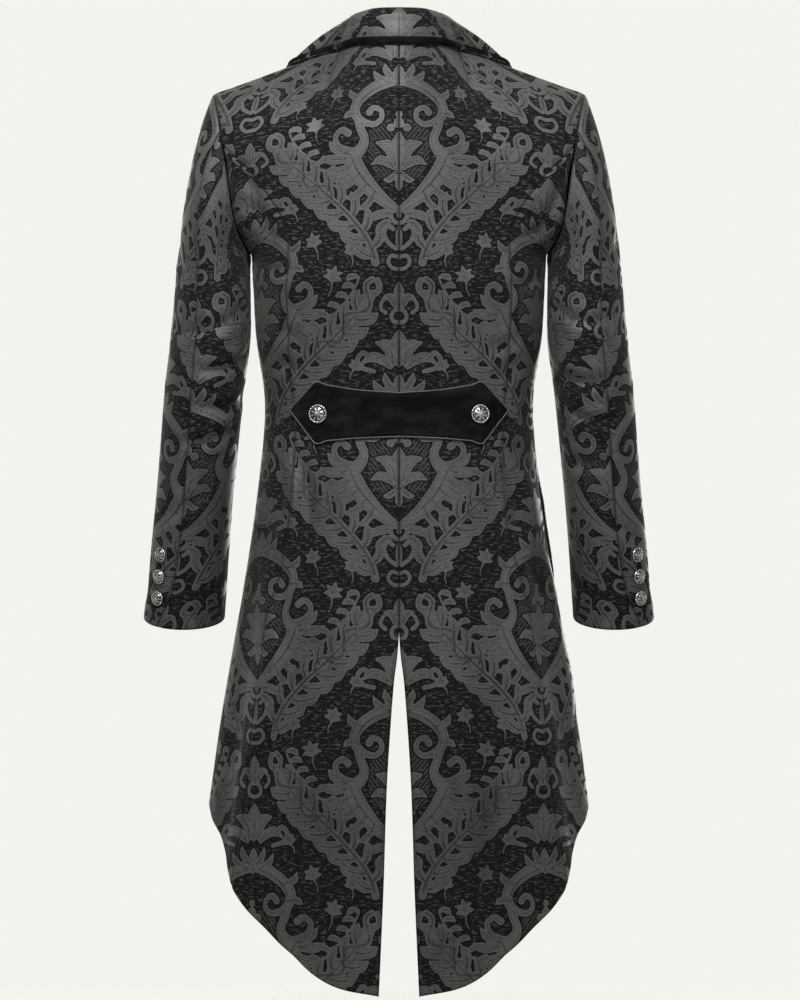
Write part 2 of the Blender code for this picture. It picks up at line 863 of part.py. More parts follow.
def make_collar(material):
    sections = both_sides(collar_section)
    make_wall("collar", [pair[0] for pair in sections], [pair[1] for pair in sections], material)


def band_section(station):
    """Outer and inner points of the band on the collar's free edge."""
    outer, inner = [], []
    for drop in (band_start(station), 1.0):
        point, way = collar_leaf(station, drop)
        inner.append(point + way * BAND_LIFT)
        outer.append(point + way * (BAND_LIFT + BAND_CLOTH))
    return outer, inner


def make_collar_band(material):
    sections = both_sides(band_section)
    make_wall("collar_band", [pair[0] for pair in sections], [pair[1] for pair in sections], material)


def back_at(x, height):
    """A point of the back below the yoke at a half width."""
    return ring(angle_at(x, height), height)


def make_half_belt(material):
    outer, inner = [], []
    half = list(BELT_COLUMNS)
    for x in [-value for value in half[:0:-1]] + half:
        top, bottom = track(BELT, 1, abs(x)), track(BELT, 2, abs(x))
        heights = [top + (bottom - top) * i / BELT_ROWS for i in range(BELT_ROWS + 1)]
        points = [back_at(x, height) for height in heights]
        outer.append([point + outward(point) * (BELT_LIFT + VELVET) for point in points])
        inner.append([point + outward(point) * BELT_LIFT for point in points])
    make_wall("half_belt", outer, inner, material)


def make_button(name, size, seat, way, material, side=1):
    """A turned button whose flat back faces its cloth."""
    diameter, height, lift = size
    shell = bmesh.new()
    profile = [shell.verts.new((diameter / 2 * share, 0.0, height * rise)) for share, rise in BUTTON_PROFILE]
    edges = [shell.edges.new(pair) for pair in zip(profile, profile[1:])]
    geometry = profile + edges
    bmesh.ops.spin(
        shell,
        geom=geometry,
        axis=(0, 0, 1),
        cent=(0, 0, 0),
        angle=2 * math.pi,
        steps=BUTTON_SIDES,
        use_merge=True,
    )
    bmesh.ops.remove_doubles(shell, verts=shell.verts, dist=SAME_PLACE)
    turn = Vector((0, 0, 1)).rotation_difference(way).to_matrix().to_4x4()
    bmesh.ops.transform(shell, matrix=Matrix.Translation(seat + way * lift) @ turn, verts=shell.verts)
    make_object(name, shell, material, side)


def make_buttons(metal):
    for side, name in ((1, "left"), (-1, "right")):
        point = back_at(*BELT_BUTTON_PLACE)
        way = outward(point)
        make_button(f"belt_button_{name}", BELT_BUTTON, point + way * (BELT_LIFT + VELVET), way, metal, side)
        for number, (height, turn) in enumerate(CUFF_BUTTON_PLACES, 1):
            bottom = CUFF_HEIGHT - CUFF_SLANT * math.cos(math.radians(turn))
            along = 1 + (height - SLEEVE_HEAD_END) / (bottom - SLEEVE_HEAD_END)
            way = sleeve_outward(turn, along)
            point = sleeve_point(turn, along)
            make_button(f"cuff_button_{name}_{number}", CUFF_BUTTON, point, way, metal, side)
    for number, height in enumerate(FRONT_BUTTON_HEIGHTS, 1):
        point = lap(ring(180, height))
        make_button(f"front_button_{number}", FRONT_BUTTON, point, outward(point), metal)


def main():
    for old in list(bpy.data.objects):
        bpy.data.objects.remove(old)
    damask = cloth_material("damask", (0.035, 0.035, 0.036), 0.62)
    velvet = cloth_material("velvet", (0.004, 0.004, 0.0045), 0.9)
    metal = cloth_material("antique_metal", (0.33, 0.32, 0.3), 0.36, 1.0)
    for side, name in ((1, "left"), (-1, "right")):
        make_back(side, f"back_{name}", damask)
        make_side(side, f"side_{name}", damask)
        make_front(side, f"front_{name}", damask)
        make_lapel(side, f"lapel_{name}", damask)
        make_sleeve(side, name, damask)
    make_collar(damask)
    make_collar_band(velvet)
    make_half_belt(velvet)
    make_buttons(metal)


main()
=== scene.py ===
"""Damask tailcoat, filled out as if worn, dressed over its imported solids. Back toward +Y, tails toward -Z.

Lengths are millimetres in the tables and functions, and become metres where a mesh is made.
"""

import math
from functools import lru_cache

import bmesh
import bpy
import numpy as np
from mathutils import Matrix, Vector


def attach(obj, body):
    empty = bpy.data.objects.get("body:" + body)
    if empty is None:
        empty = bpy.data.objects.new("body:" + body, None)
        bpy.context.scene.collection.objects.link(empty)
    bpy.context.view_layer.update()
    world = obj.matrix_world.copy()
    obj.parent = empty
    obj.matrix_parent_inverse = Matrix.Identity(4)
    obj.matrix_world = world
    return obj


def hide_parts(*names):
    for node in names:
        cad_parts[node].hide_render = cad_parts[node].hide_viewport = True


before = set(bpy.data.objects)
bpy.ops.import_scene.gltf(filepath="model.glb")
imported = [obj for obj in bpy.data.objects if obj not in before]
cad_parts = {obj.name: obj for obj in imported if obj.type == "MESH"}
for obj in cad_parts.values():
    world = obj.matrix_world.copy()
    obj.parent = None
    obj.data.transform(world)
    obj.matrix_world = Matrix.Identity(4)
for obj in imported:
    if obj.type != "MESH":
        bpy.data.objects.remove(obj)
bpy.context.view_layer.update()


MM = 0.001
COAT_MIDDLE = -534.0
CAMERA_PLACE = (-1.2, 12000.0, COAT_MIDDLE)
CAMERA_FILM = 36.0
CAMERA_LENS = 358.0
CAMERA_REACH = 100.0


def in_scene(name, data):
    """An object of its own for a mesh, a curve, a lamp or a camera."""
    made = bpy.data.objects.new(name, data)
    bpy.context.scene.collection.objects.link(made)
    return made


def place_camera():
    """Looks straight at the coat's back, from twelve metres."""
    camera = in_scene("camera", bpy.data.cameras.new("camera"))
    camera.data.sensor_fit = "VERTICAL"
    camera.data.sensor_height = CAMERA_FILM
    camera.data.sensor_width = CAMERA_FILM
    camera.data.lens = CAMERA_LENS
    camera.data.clip_end = CAMERA_REACH
    camera.location = Vector(CAMERA_PLACE) * MM
    camera.rotation_euler = (math.radians(90), 0.0, math.radians(180))
    bpy.context.scene.camera = camera


place_camera()

VELVET = 2.2
COLLAR_CLOTH = 2.0
BELT_LIFT = 1.1

# Rings of the body from the tail tips up to the level where the yoke starts.
SECTIONS = (
    # height, half_width, back_depth, front_depth, squareness
    (-1135, 264.0, 150, 150, 2.2),
    (-1000, 245.0, 146, 146, 2.2),
    (-900, 229.3, 141, 141, 2.25),
    (-800, 215.0, 135, 134, 2.3),
    (-700, 198.0, 129, 127, 2.3),
    (-600, 181.0, 121, 118, 2.3),
    (-520, 170.0, 109, 109, 2.35),
    (-440, 162.0, 95, 103, 2.35),
    (-400, 163.0, 94, 104, 2.4),
    (-340, 172.0, 102, 112, 2.45),
    (-270, 176.0, 115, 121, 2.5),
)

YOKE = -270.0
WAIST = -430.0

# Centre line of the back above the yoke line, up to the neck seam.
SPINE = (
    # height, depth
    (-270, 115),
    (-200, 120),
    (-140, 118),
    (-80, 108),
    (-30, 89),
    (0, 74),
    (22, 62),
)

# Crease where a front turns back into its lapel, from the top of the closing to the neck.
ROLL_LINE = (
    # height, half_width, depth
    (-300, 0.8, -118),
    (-270, 7.0, -121),
    (-200, 23.0, -121),
    (-140, 37.0, -114),
    (-80, 51.0, -98),
    (-40, 60.0, -75),
    (-12, 66.0, -40),
    (14, 68.0, -8),
)

CLOSING_TOP = -300.0
CLOSING_CORNER = -316.0
UNDERLAP = 16.0
LAP_LIFT = 3.2
LAP_WIDTH = (36.0, 66.0)
LAP_HEIGHT = (-284.0, -296.0)

# Armhole, an upright loop on each side of the body.
ARMHOLE_HEIGHT = (-240.0, -44.0)

ARMHOLE_DEPTH = (60.0, 57.0)
ARMHOLE_MIDDLE = -3.0
ARMHOLE_SQUARENESS = 2.15
ARMHOLE_HOLLOW = 9.0
ARMHOLE_WIDTH = (
    # height, half_width
    (-240, 178),
    (-228, 185),
    (-204, 196),
    (-139, 206),
    (-90, 214),
    (-44, 223),
)

ARMHOLE_START = 0.1
LOCAL_BEND = 1.8
TOP_SHARPNESS = 4
LOCAL_BEND_ENDS = (0.2, 0.75)
NECK_SIDE = (68.0, -8.0, 14.0)
NECK_BACK = (62.0, 22.0)
NECK_SHARE = 0.4

# Above the yoke line the walls are thick away from a dome: where it takes over, its middle, its widening.
DOME_START = -210.0
DOME_MIDDLE = -120.0
DOME_WIDENING = 0.34

# Side-back seam and the half width of the opening below the centre-back seam.
SIDE_BACK_SEAM = (
    # height, half_width
    (-1000, 196),
    (-915, 180),
    (-840, 171),
    (-770, 167),
    (-667, 152),
    (-560, 130),
    (-430, 126),
    (-387, 131),
    (-270, 136),
)

VENT_TOP = -707.0
VENT = (
    # height, half_width
    (-1130, 24.2),
    (-1000, 18.5),
    (-880, 14.6),
    (-800, 9.8),
    (-740, 4.8),
    (-707, 0.0),
)

SEAM_TO_ARMHOLE = 0.64
SEAM_TIP_SHARE = 0.996
SEAM_CURVE = 3.2

# Lower edge all round: the tail tip, the sweep to the side, and the cut-away front.
HEM_BACK = (
    # half_width, height
    (24, -1126),
    (72, -1116),
    (106, -1098),
    (127, -1080),
    (148, -1062),
    (176, -1026),
    (198, -990),
    (216, -954),
    (226, -921),
    (229.3, -900),
)

HEM_FRONT = (
    # angle, height
    (90, -900),
    (102, -862),
    (115, -806),
    (130, -724),
    (145, -636),
    (158, -562),
    (168, -512),
    (176, -480),
    (190, -462),
)

# Soft folds of the skirt: where they run, how wide, and how far they stand out at the lower edge.
FOLDS = (
    # angle, half_angle, stand_out
    (14, 10, 4.0),
    (31, 12, -6.0),
    (48, 12, 9.0),
    (67, 13, -8.0),
    (108, 13, -7.0),
    (126, 12, 8.0),
    (146, 12, -6.0),
)

FOLD_TOP = -470.0
FOLD_FULL = -880.0

# Sleeve rings below the sleeve head.
SLEEVE = (
    # height, middle_x, middle_y, half_width, half_depth
    (-720, 261.0, -50, 49.5, 43),
    (-672, 259.8, -43, 49.3, 44),
    (-648, 256.8, -38, 48.0, 45),
    (-594, 252.6, -28, 47.4, 48),
    (-522, 246.0, -17, 46.8, 52),
    (-450, 239.4, -8, 47.4, 57),
    (-400, 234.9, -4, 48.2, 60),
    (-342, 227.6, -2, 48.6, 63),
    (-290, 225.0, -3, 46.3, 65),
)

SLEEVE_HEAD_END = -290.0
HEAD_SHARED = 0.4

# How far the sleeve head leans out as it leaves the armhole: all round, at the shoulder, front and back.
HEAD_SPREAD = (0.25, 0.17, 0.45)

HEAD_DEPTH_SPREAD = 0.15
SHORT_WAY = 20.0
SHORT_TURN = 3.0
SHORT_SHARE = 0.04
CUFF_HEIGHT = -676.0
CUFF_SLANT = 15.0
SLEEVE_GAP = 1.2

# Where the two sleeve pieces meet, as angles from the back toward the outer side.
HIND_SEAM = (
    # height, angle
    (-700, 44),
    (-686, 38),
    (-655, 24),
    (-610, 17),
    (-570, 15),
    (-450, 17),
    (-318, 22),
    (-150, 30),
)

FORE_SEAM_ANGLE = 205.0

# The collar's fold at stations from the centre back to its front end.
COLLAR_ROLL = (
    # station, x, y, z
    (0.00, 0.0, 57, 58.0),
    (0.14, 28.0, 51, 57.3),
    (0.29, 50.0, 33, 52.6),
    (0.44, 61.5, 8, 48.0),
    (0.55, 65.0, -10, 44.5),
    (0.70, 67.0, -38, 27.0),
    (0.85, 64.5, -62, 0.0),
    (1.00, 58.0, -84, -33.0),
)

# The collar's free edge as it lies on the back and then on the chest.
COLLAR_EDGE_BACK = (
    # station, half_width, height
    (0.00, 0.0, 10.0),
    (0.14, 38.0, 10.2),
    (0.19, 50.0, 9.6),
    (0.24, 60.0, 8.0),
    (0.28, 67.0, 6.5),
    (0.32, 74.0, 5.2),
    (0.38, 90.0, 1.5),
    (0.44, 109.0, -3.5),
    (0.50, 131.0, -11.0),
)

COLLAR_EDGE_FRONT = (
    # station, half_width, height
    (0.50, 131.0, -11.0),
    (0.60, 136.0, -20.5),
    (0.72, 137.0, -40.0),
    (0.86, 131.0, -58.0),
    (1.00, 119.0, -71.0),
)

COLLAR_SHOULDER = 0.5
COLLAR_END_HEIGHT = -38.0
COLLAR_LIFT = 3.9
COLLAR_FOLD = 3.2
COLLAR_SWELL = 3.0
COLLAR_CREST_DROP = 2.4
STAND_SEAM_GAP = 0.6
BAND_WIDTH = 8.5
BAND_CLOTH = 1.2
BAND_LIFT = 0.5

# The lapel, as its width across the front from the roll line.
LAPEL = (
    # height, width
    (-298, 5),
    (-270, 22),
    (-220, 48),
    (-160, 72),
    (-110, 86),
    (-84, 88),
    (-40, 60),
)

LAPEL_TOP = 0.84
GORGE_SLOPE = 0.04
NOTCH_START = 0.5
NOTCH_DROP = 0.09
LAPEL_LIFT = 1.5
LAPEL_CLOTH = 2.0

# The half belt on the back of the waist.
BELT = (
    # half_width, top, bottom
    (0, -405.6, -458.0),
    (50, -402.0, -460.0),
    (85, -396.5, -463.0),
    (101, -393.6, -465.0),
    (129, -424.8, -427.4),
)

# Diameter, height, and how far the flat back stands off the smooth form of its cloth.
BELT_BUTTON = (22.9, 6.4, 0.9)

CUFF_BUTTON = (17.6, 5.2, 0.4)
FRONT_BUTTON = (20.0, 5.6, 0.9)
BELT_BUTTON_PLACE = (95.6, -430.7)
CUFF_BUTTON_PLACES = ((-600.0, 45.5), (-626.4, 45.5), (-652.8, 44.0))
FRONT_BUTTON_HEIGHTS = (-328.0, -384.0, -440.0)
LEAF_MIDDLE = 0.5
BISECTIONS = 24
HEM_ROUNDS = 9


def track(rows, column, at, key=0):
    """A smooth value of one column of a table at a value of its key column."""
    rows = sorted(rows, key=lambda row: row[key])
    at = min(max(at, rows[0][key]), rows[-1][key])
    i = max(k for k in range(len(rows) - 1) if rows[k][key] <= at)
    low, high = rows[i], rows[i + 1]
    span = high[key] - low[key]

    def slope(k):
        before, after = rows[max(k - 1, 0)], rows[min(k + 1, len(rows) - 1)]
        return (after[column] - before[column]) / (after[key] - before[key])

    t = (at - low[key]) / span
    start, end = slope(i) * span, slope(i + 1) * span
    rise = high[column] - low[column]
    bend = t * (1 - t) * ((1 - t) * (start - rise) - t * (end - rise))
    return low[column] + rise * t + bend


def ease(low, high, at):
    """0 at low, 1 at high, smooth between them, whichever is larger."""
    t = min(max((at - low) / (high - low), 0.0), 1.0)
    return t * t * (3 - 2 * t)


def power(value, exponent):
    return math.copysign(abs(value) ** exponent, value)


def fold(angle, height):
    """How far the skirt stands out from its plain ring."""
    fullness = ease(FOLD_TOP, FOLD_FULL, height)
    total = 0.0
    for middle, half, stand_out in FOLDS:
        near = max(0.0, 1 - ((angle - middle) / half) ** 2)
        total += stand_out * near * near
    return total * fullness


def ring(angle, height):
    """A point of the body below the yoke; the angle runs from the centre back over the side to the front."""
    half_width = track(SECTIONS, 1, height)
    depth = track(SECTIONS, 2 if angle <= 90 else 3, height)
    share = 2 / track(SECTIONS, 4, height)
    turn = math.radians(angle)
    stand_out = fold(angle, height)
    x = (half_width + stand_out) * power(math.sin(turn), share)
    y = (depth + stand_out) * power(math.cos(turn), share)
    return Vector((x, y, height))


def angle_at(x, height, front=False):
    """The ring angle of a half width."""
    half_width = track(SECTIONS, 1, height)
    share = track(SECTIONS, 4, height) / 2
    angle = math.degrees(math.asin(min(abs(x) / half_width, 1.0) ** share))
    angle = math.copysign(angle, x)
    return 180 - angle if front else angle


def armhole(turn, front):
    """A point of the armhole; the turn runs from -90 at the underarm to 90 at the shoulder tip."""
    low, high = ARMHOLE_HEIGHT
    share = 2 / ARMHOLE_SQUARENESS
    across, up = math.cos(math.radians(turn)), math.sin(math.radians(turn))
    z = (low + high) / 2 + (high - low) / 2 * power(up, share)
    reach = max(across, 0.0) ** share
    y = ARMHOLE_MIDDLE + (-ARMHOLE_DEPTH[1] if front else ARMHOLE_DEPTH[0]) * reach
    x = track(ARMHOLE_WIDTH, 1, z) - (ARMHOLE_HOLLOW * reach if front else 0.0)
    return Vector((x, y, z))


def yoke_side(up, front):
    """The outer border of the yoke: from the yoke line to the underarm, then round the armhole."""
    if up < ARMHOLE_START:
        return ring(90, YOKE).lerp(armhole(-90, front), up / ARMHOLE_START)
    return armhole(-90 + 180 * (up - ARMHOLE_START) / (1 - ARMHOLE_START), front)


def yoke_height(up, top):
    """Height of the inner border of the yoke, level with the armhole at the underarm and half-way up it."""
    middle = sum(ARMHOLE_HEIGHT) / 2
    half_way = (1 + ARMHOLE_START) / 2
    return track(((0, YOKE), (ARMHOLE_START, ARMHOLE_HEIGHT[0]), (half_way, middle), (1, top)), 1, up)


def shoulder(share):
    """The shoulder seam from the side of the neck to the shoulder tip."""
    return Vector(NECK_SIDE).lerp(armhole(90, False), share)


def neck_seam(share):
    """The back neck seam from the centre back to the side of the neck."""
    turn = math.radians(90 * share)
    x, y, z = NECK_SIDE
    back_y, back_z = NECK_BACK
    return Vector((x * math.sin(turn), y + (back_y - y) * math.cos(turn), back_z + (z - back_z) * share))


def four_sided(across, up, bottom, top, inner, outer):
    """A point of the smooth patch that fills four border curves.

    The top one's corners fade out below it, and low down the outer one acts near itself only.
    """
    straight = top(0).lerp(top(1), across)
    plain = bottom(across) * (1 - up) + straight * up + (top(across) - straight) * up**TOP_SHARPNESS
    inner_bend = inner(up) - (inner(0) * (1 - up) + inner(1) * up)
    outer_bend = outer(up) - (outer(0) * (1 - up) + outer(1) * up)
    nearness = 1 + LOCAL_BEND * (1 - ease(*LOCAL_BEND_ENDS, up))
    return plain + inner_bend * (1 - across) + outer_bend * across**nearness


def yoke_back(across, up):
    """The upper back, from the centre-back seam to the armhole and from the yoke line to the shoulder."""

    def spine(at):
        height = yoke_height(at, NECK_BACK[1])
        return Vector((0.0, track(SPINE, 1, height), height))

    def top(at):
        if at < NECK_SHARE:
            return neck_seam(at / NECK_SHARE)
        return shoulder((at - NECK_SHARE) / (1 - NECK_SHARE))

    def bottom(at):
        return ring(90 * at, YOKE)

    return four_sided(across, up, bottom, top, spine, lambda at: yoke_side(at, False))


def yoke_front(across, up):
    """The chest, from the roll line to the armhole and from the yoke line to the shoulder."""
    edge_angle = angle_at(track(ROLL_LINE, 1, YOKE), YOKE, front=True)

    def roll(at):
        height = yoke_height(at, NECK_SIDE[2])
        return Vector((track(ROLL_LINE, 1, height), track(ROLL_LINE, 2, height), height))

    def bottom(at):
        return ring(edge_angle + (90 - edge_angle) * at, YOKE)

    return four_sided(across, up, bottom, shoulder, roll, lambda at: yoke_side(at, True))


def outward(point):
    """The direction in which every body wall is thick, shared by all panels so that seams stay parallel."""
    if point.z <= YOKE:
        half_width = track(SECTIONS, 1, point.z)
        depth = track(SECTIONS, 2 if point.y > 0 else 3, point.z)
        steep = track(SECTIONS, 4, point.z)
        x = power(point.x / half_width, steep - 1) / half_width
        y = power(point.y / depth, steep - 1) / depth
        return Vector((x, y, 0.0)).normalized()
    level = min(point.z, DOME_MIDDLE)
    upper = Vector((point.x * DOME_WIDENING, point.y, point.z - level)).normalized()
    lower = outward(Vector((point.x, point.y, YOKE)))
    return lower.lerp(upper, ease(YOKE, DOME_START, point.z)).normalized()


def crossing(is_below):
    """The share between 0 and 1 up to which a test holds."""
    low, high = 0.0, 1.0
    for _ in range(BISECTIONS):
        middle = (low + high) / 2
        if is_below(middle):
            low = middle
        else:
            high = middle
    return low


def hem_height(angle):
    """Height of the lower edge at a ring angle."""
    if angle >= 90:
        return track(HEM_FRONT, 1, angle)
    top, run = HEM_FRONT[0][1], HEM_BACK[0][1] - HEM_FRONT[0][1]

    def above_edge(share):
        height = top + run * share
        x = track(SECTIONS, 1, height) * power(math.sin(math.radians(angle)), 2 / track(SECTIONS, 4, height))
        return height > track(HEM_BACK, 1, x)

    return top + run * crossing(above_edge)


def centre_back_angle(height):
    return angle_at(track(VENT, 1, height) if height < VENT_TOP else 0.0, height)


def side_back_angle(height):
    return angle_at(track(SIDE_BACK_SEAM, 1, height), height)


def front_edge_angle(height):
    """Where a front ends: at the roll line above the closing, and past the centre below it."""
    if height > CLOSING_TOP:
        return angle_at(track(ROLL_LINE, 1, height), height, front=True)
    past = UNDERLAP * ease(CLOSING_TOP, CLOSING_CORNER, height) - ROLL_LINE[0][1]
    return angle_at(-past, height, front=True)


def seam_share(up):
    """How far across the yoke the side-back seam has run at this level, until it meets the armhole."""
    start = side_back_angle(YOKE) / 90
    if up > SEAM_TO_ARMHOLE:
        return 1.0
    return start + (SEAM_TIP_SHARE - start) * (up / SEAM_TO_ARMHOLE) ** SEAM_CURVE


@lru_cache(maxsize=None)
def skirt_bottom(share, first, last):
    """Height of the lower edge a share of the way from one seam to the other."""
    bottom = WAIST
    for _ in range(HEM_ROUNDS):
        bottom = hem_height(first(bottom) + (last(bottom) - first(bottom)) * share)
    return bottom


def panel_point(share, level, on_yoke, first, last):
    """A point of a body panel, a share of the way from its first seam to its last, at a level."""
    kind, value = level
    if kind == "yoke":
        return on_yoke(share, value)
    if kind == "skirt":
        value = WAIST + (skirt_bottom(share, first, last) - WAIST) * value
    return ring(first(value) + (last(value) - first(value)) * share, value)


def side_seam_angle(_):
    return 90.0


def back_point(share, level):
    """A point of a back: the share runs from the centre-back seam to the side-back seam."""

    def on_yoke(across, up):
        return yoke_back(across * seam_share(up), up)

    return panel_point(share, level, on_yoke, centre_back_angle, side_back_angle)


def side_point(share, level):
    """A point of a side body: the share runs from the side-back seam to the side seam."""

    def on_yoke(across, up):
        start = seam_share(up)
        return yoke_back(start + (1 - start) * across, up)

    return panel_point(share, level, on_yoke, side_back_angle, side_seam_angle)


def front_point(share, level):
    """A point of a front: the share runs from the roll line or edge to the side seam."""
    return panel_point(share, level, yoke_front, front_edge_angle, side_seam_angle)


def lap(point):
    """Lifts the left front where it lies over the right one."""
    near = ease(LAP_WIDTH[1], LAP_WIDTH[0], point.x) * ease(*LAP_HEIGHT, point.z)
    return point + outward(point) * (LAP_LIFT * near)


def lapel_point(share, level):
    """A point of the front under the lapel; the share runs from the roll line to the lapel's free edge."""
    kind, value = level
    start = front_point(0.0, level)
    width = track(LAPEL, 1, start.z)
    across = share * crossing(lambda at: (front_point(at, level) - start).length < width)
    if kind == "yoke":
        drop = GORGE_SLOPE * share + NOTCH_DROP * ease(NOTCH_START, 1.0, share)
        value = max(value - drop * (value / LAPEL_TOP) ** 3, 0.0)
    return front_point(across, (kind, value))


def sleeve_ring(turn, height):
    """A point of the arm of the sleeve; the turn runs from the back, over the outer side, to the front."""
    middle_x, middle_y, half_width, half_depth = (track(SLEEVE, column, height) for column in (1, 2, 3, 4))
    angle = math.radians(turn)
    return Vector((middle_x + half_width * math.sin(angle), middle_y + half_depth * math.cos(angle), height))


def sleeve_start(turn):
    """A point of the sleeve's upper edge, just outside the armhole."""
    turn = (turn + 90) % 360 - 90
    point = armhole(turn, False) if turn <= 90 else armhole(180 - turn, True)
    return point + Vector((SLEEVE_GAP, 0.0, 0.0))


def sleeve_point(turn, along):
    """A point of the sleeve: along runs 0 to 1 down the sleeve head, and 1 to 2 from there to the cuff."""
    if along > 1:
        bottom = CUFF_HEIGHT - CUFF_SLANT * math.cos(math.radians(turn))
        return sleeve_ring(turn, SLEEVE_HEAD_END + (bottom - SLEEVE_HEAD_END) * (along - 1))
    angle = math.radians(turn)
    start, end = sleeve_start(turn), sleeve_ring(turn, SLEEVE_HEAD_END)
    across = math.cos(angle)
    spread = HEAD_SPREAD[0] + HEAD_SPREAD[1] * math.sin(angle) + HEAD_SPREAD[2] * across * across
    leave = Vector((spread, HEAD_DEPTH_SPREAD * across, -1.0)).normalized()
    arrive = (sleeve_ring(turn, SLEEVE_HEAD_END - SHORT_WAY) - end).normalized()
    reach, t = (end - start).length, along
    place = start * (2 * t**3 - 3 * t**2 + 1) + end * (3 * t**2 - 2 * t**3)
    return place + leave * (reach * (t**3 - 2 * t**2 + t)) + arrive * (reach * (t**3 - t**2))


def sleeve_outward(turn, along):
    """The direction in which the sleeve's wall is thick, away from the arm."""
    low, high = max(along - SHORT_SHARE, 0.0), min(along + SHORT_SHARE, 2.0)
    down = sleeve_point(turn, high) - sleeve_point(turn, low)
    around = sleeve_point(turn + SHORT_TURN, along) - sleeve_point(turn - SHORT_TURN, along)
    way = around.cross(down).normalized()
    body = outward(sleeve_start(turn))
    shared = max(1 - along / HEAD_SHARED, 0.0) * (1 + math.sin(math.radians(turn))) / 2
    return way.lerp(body, shared).normalized()


def hind_seam(along):
    """The turn at which the two sleeve pieces meet behind the arm."""
    if along <= 1:
        return track(HIND_SEAM, 1, HIND_SEAM[-1][0] + (SLEEVE_HEAD_END - HIND_SEAM[-1][0]) * along)
    bottom = CUFF_HEIGHT - CUFF_SLANT
    return track(HIND_SEAM, 1, SLEEVE_HEAD_END + (bottom - SLEEVE_HEAD_END) * (along - 1))


def collar_seam(station):
    """The seam that carries the collar: the back neck, then down the chest edge."""
    if station < COLLAR_SHOULDER:
        return neck_seam(station / COLLAR_SHOULDER)
    share = (station - COLLAR_SHOULDER) / (1 - COLLAR_SHOULDER)
    height = NECK_SIDE[2] + (COLLAR_END_HEIGHT - NECK_SIDE[2]) * share
    return Vector((track(ROLL_LINE, 1, height), track(ROLL_LINE, 2, height), height))


def collar_roll(station):
    return Vector([track(COLLAR_ROLL, column, station) for column in (1, 2, 3)])


def neckward(station):
    """The level direction from the collar's fold to the neck."""
    roll = collar_roll(station)
    return Vector((-roll.x, NECK_SIDE[1] - roll.y, 0.0)).normalized()


def lying_on(yoke, x, height):
    """The point of a yoke patch at a half width and a height."""

    def across_at(up):
        return crossing(lambda across: yoke(across, up).x < x)

    up = crossing(lambda up: yoke(across_at(up), up).z < height)
    return yoke(across_at(up), up)


@lru_cache(maxsize=None)
def collar_edge(station):
    """The collar's free edge, lying on the body."""
    behind = station < COLLAR_SHOULDER
    rows = COLLAR_EDGE_BACK if behind else COLLAR_EDGE_FRONT
    yoke = yoke_back if behind else yoke_front
    point = lying_on(yoke, track(rows, 1, station), track(rows, 2, station))
    return point + outward(point) * COLLAR_LIFT


def collar_leaf(station, drop):
    """A point of the collar's outer leaf, from its fold (0) to its free edge (1), and the way out of it."""
    start = collar_roll(station) - neckward(station) * COLLAR_FOLD - Vector((0, 0, COLLAR_CREST_DROP))
    end = collar_edge(station)
    run = (end - start).normalized()
    way = -neckward(station) + Vector((0, 0, 1))
    way = (way - run * way.dot(run)).normalized()
    return start.lerp(end, drop) + way * (COLLAR_SWELL * 4 * drop * (1 - drop)), way


def band_start(station):
    """How far down the collar's leaf its edge band begins."""
    return 1 - BAND_WIDTH / (collar_leaf(station, 1.0)[0] - collar_leaf(station, 0.0)[0]).length


def collar_section(station):
    """Outer and inner points of the collar at a station: up the stand, over the fold, down the leaf."""
    seam, roll, inward = collar_seam(station), collar_roll(station), neckward(station)
    crest = roll + inward * COLLAR_FOLD - Vector((0, 0, COLLAR_CREST_DROP))
    base = seam + Vector((0, 0, STAND_SEAM_GAP))
    stand = [base, base.lerp(crest, 0.5), crest]
    outer = stand + [roll]
    inner = [point - inward * COLLAR_CLOTH for point in stand] + [roll - Vector((0, 0, COLLAR_CLOTH))]
    for drop in (0.0, LEAF_MIDDLE * band_start(station), band_start(station), 1.0):
        point, way = collar_leaf(station, drop)
        outer.append(point)
        inner.append(point - way * COLLAR_CLOTH)
    return outer, inner


def band_section(station):
    """Outer and inner points of the band on the collar's free edge."""
    outer, inner = [], []
    for drop in (band_start(station), 1.0):
        point, way = collar_leaf(station, drop)
        inner.append(point + way * BAND_LIFT)
        outer.append(point + way * (BAND_LIFT + BAND_CLOTH))
    return outer, inner


def back_at(x, height):
    """A point of the back below the yoke at a half width."""
    return ring(angle_at(x, height), height)

# The woven figure: half a repeat, from one mirror line of the cloth to the next, in millimetres.
REPEAT_WIDTH = 185.0
REPEAT_HEIGHT = 378.0
FIGURE_MIDDLE = -118.0
PINCH = -140.0
WEAVE_STEP = 0.5
FAR = 6.0


def band_line(up):
    """Half width of the pointed frame that the figures sit in, at a height above a figure's middle."""
    return 92.5 - 65.0 * math.cos(2 * math.pi * (up - PINCH) / REPEAT_HEIGHT)


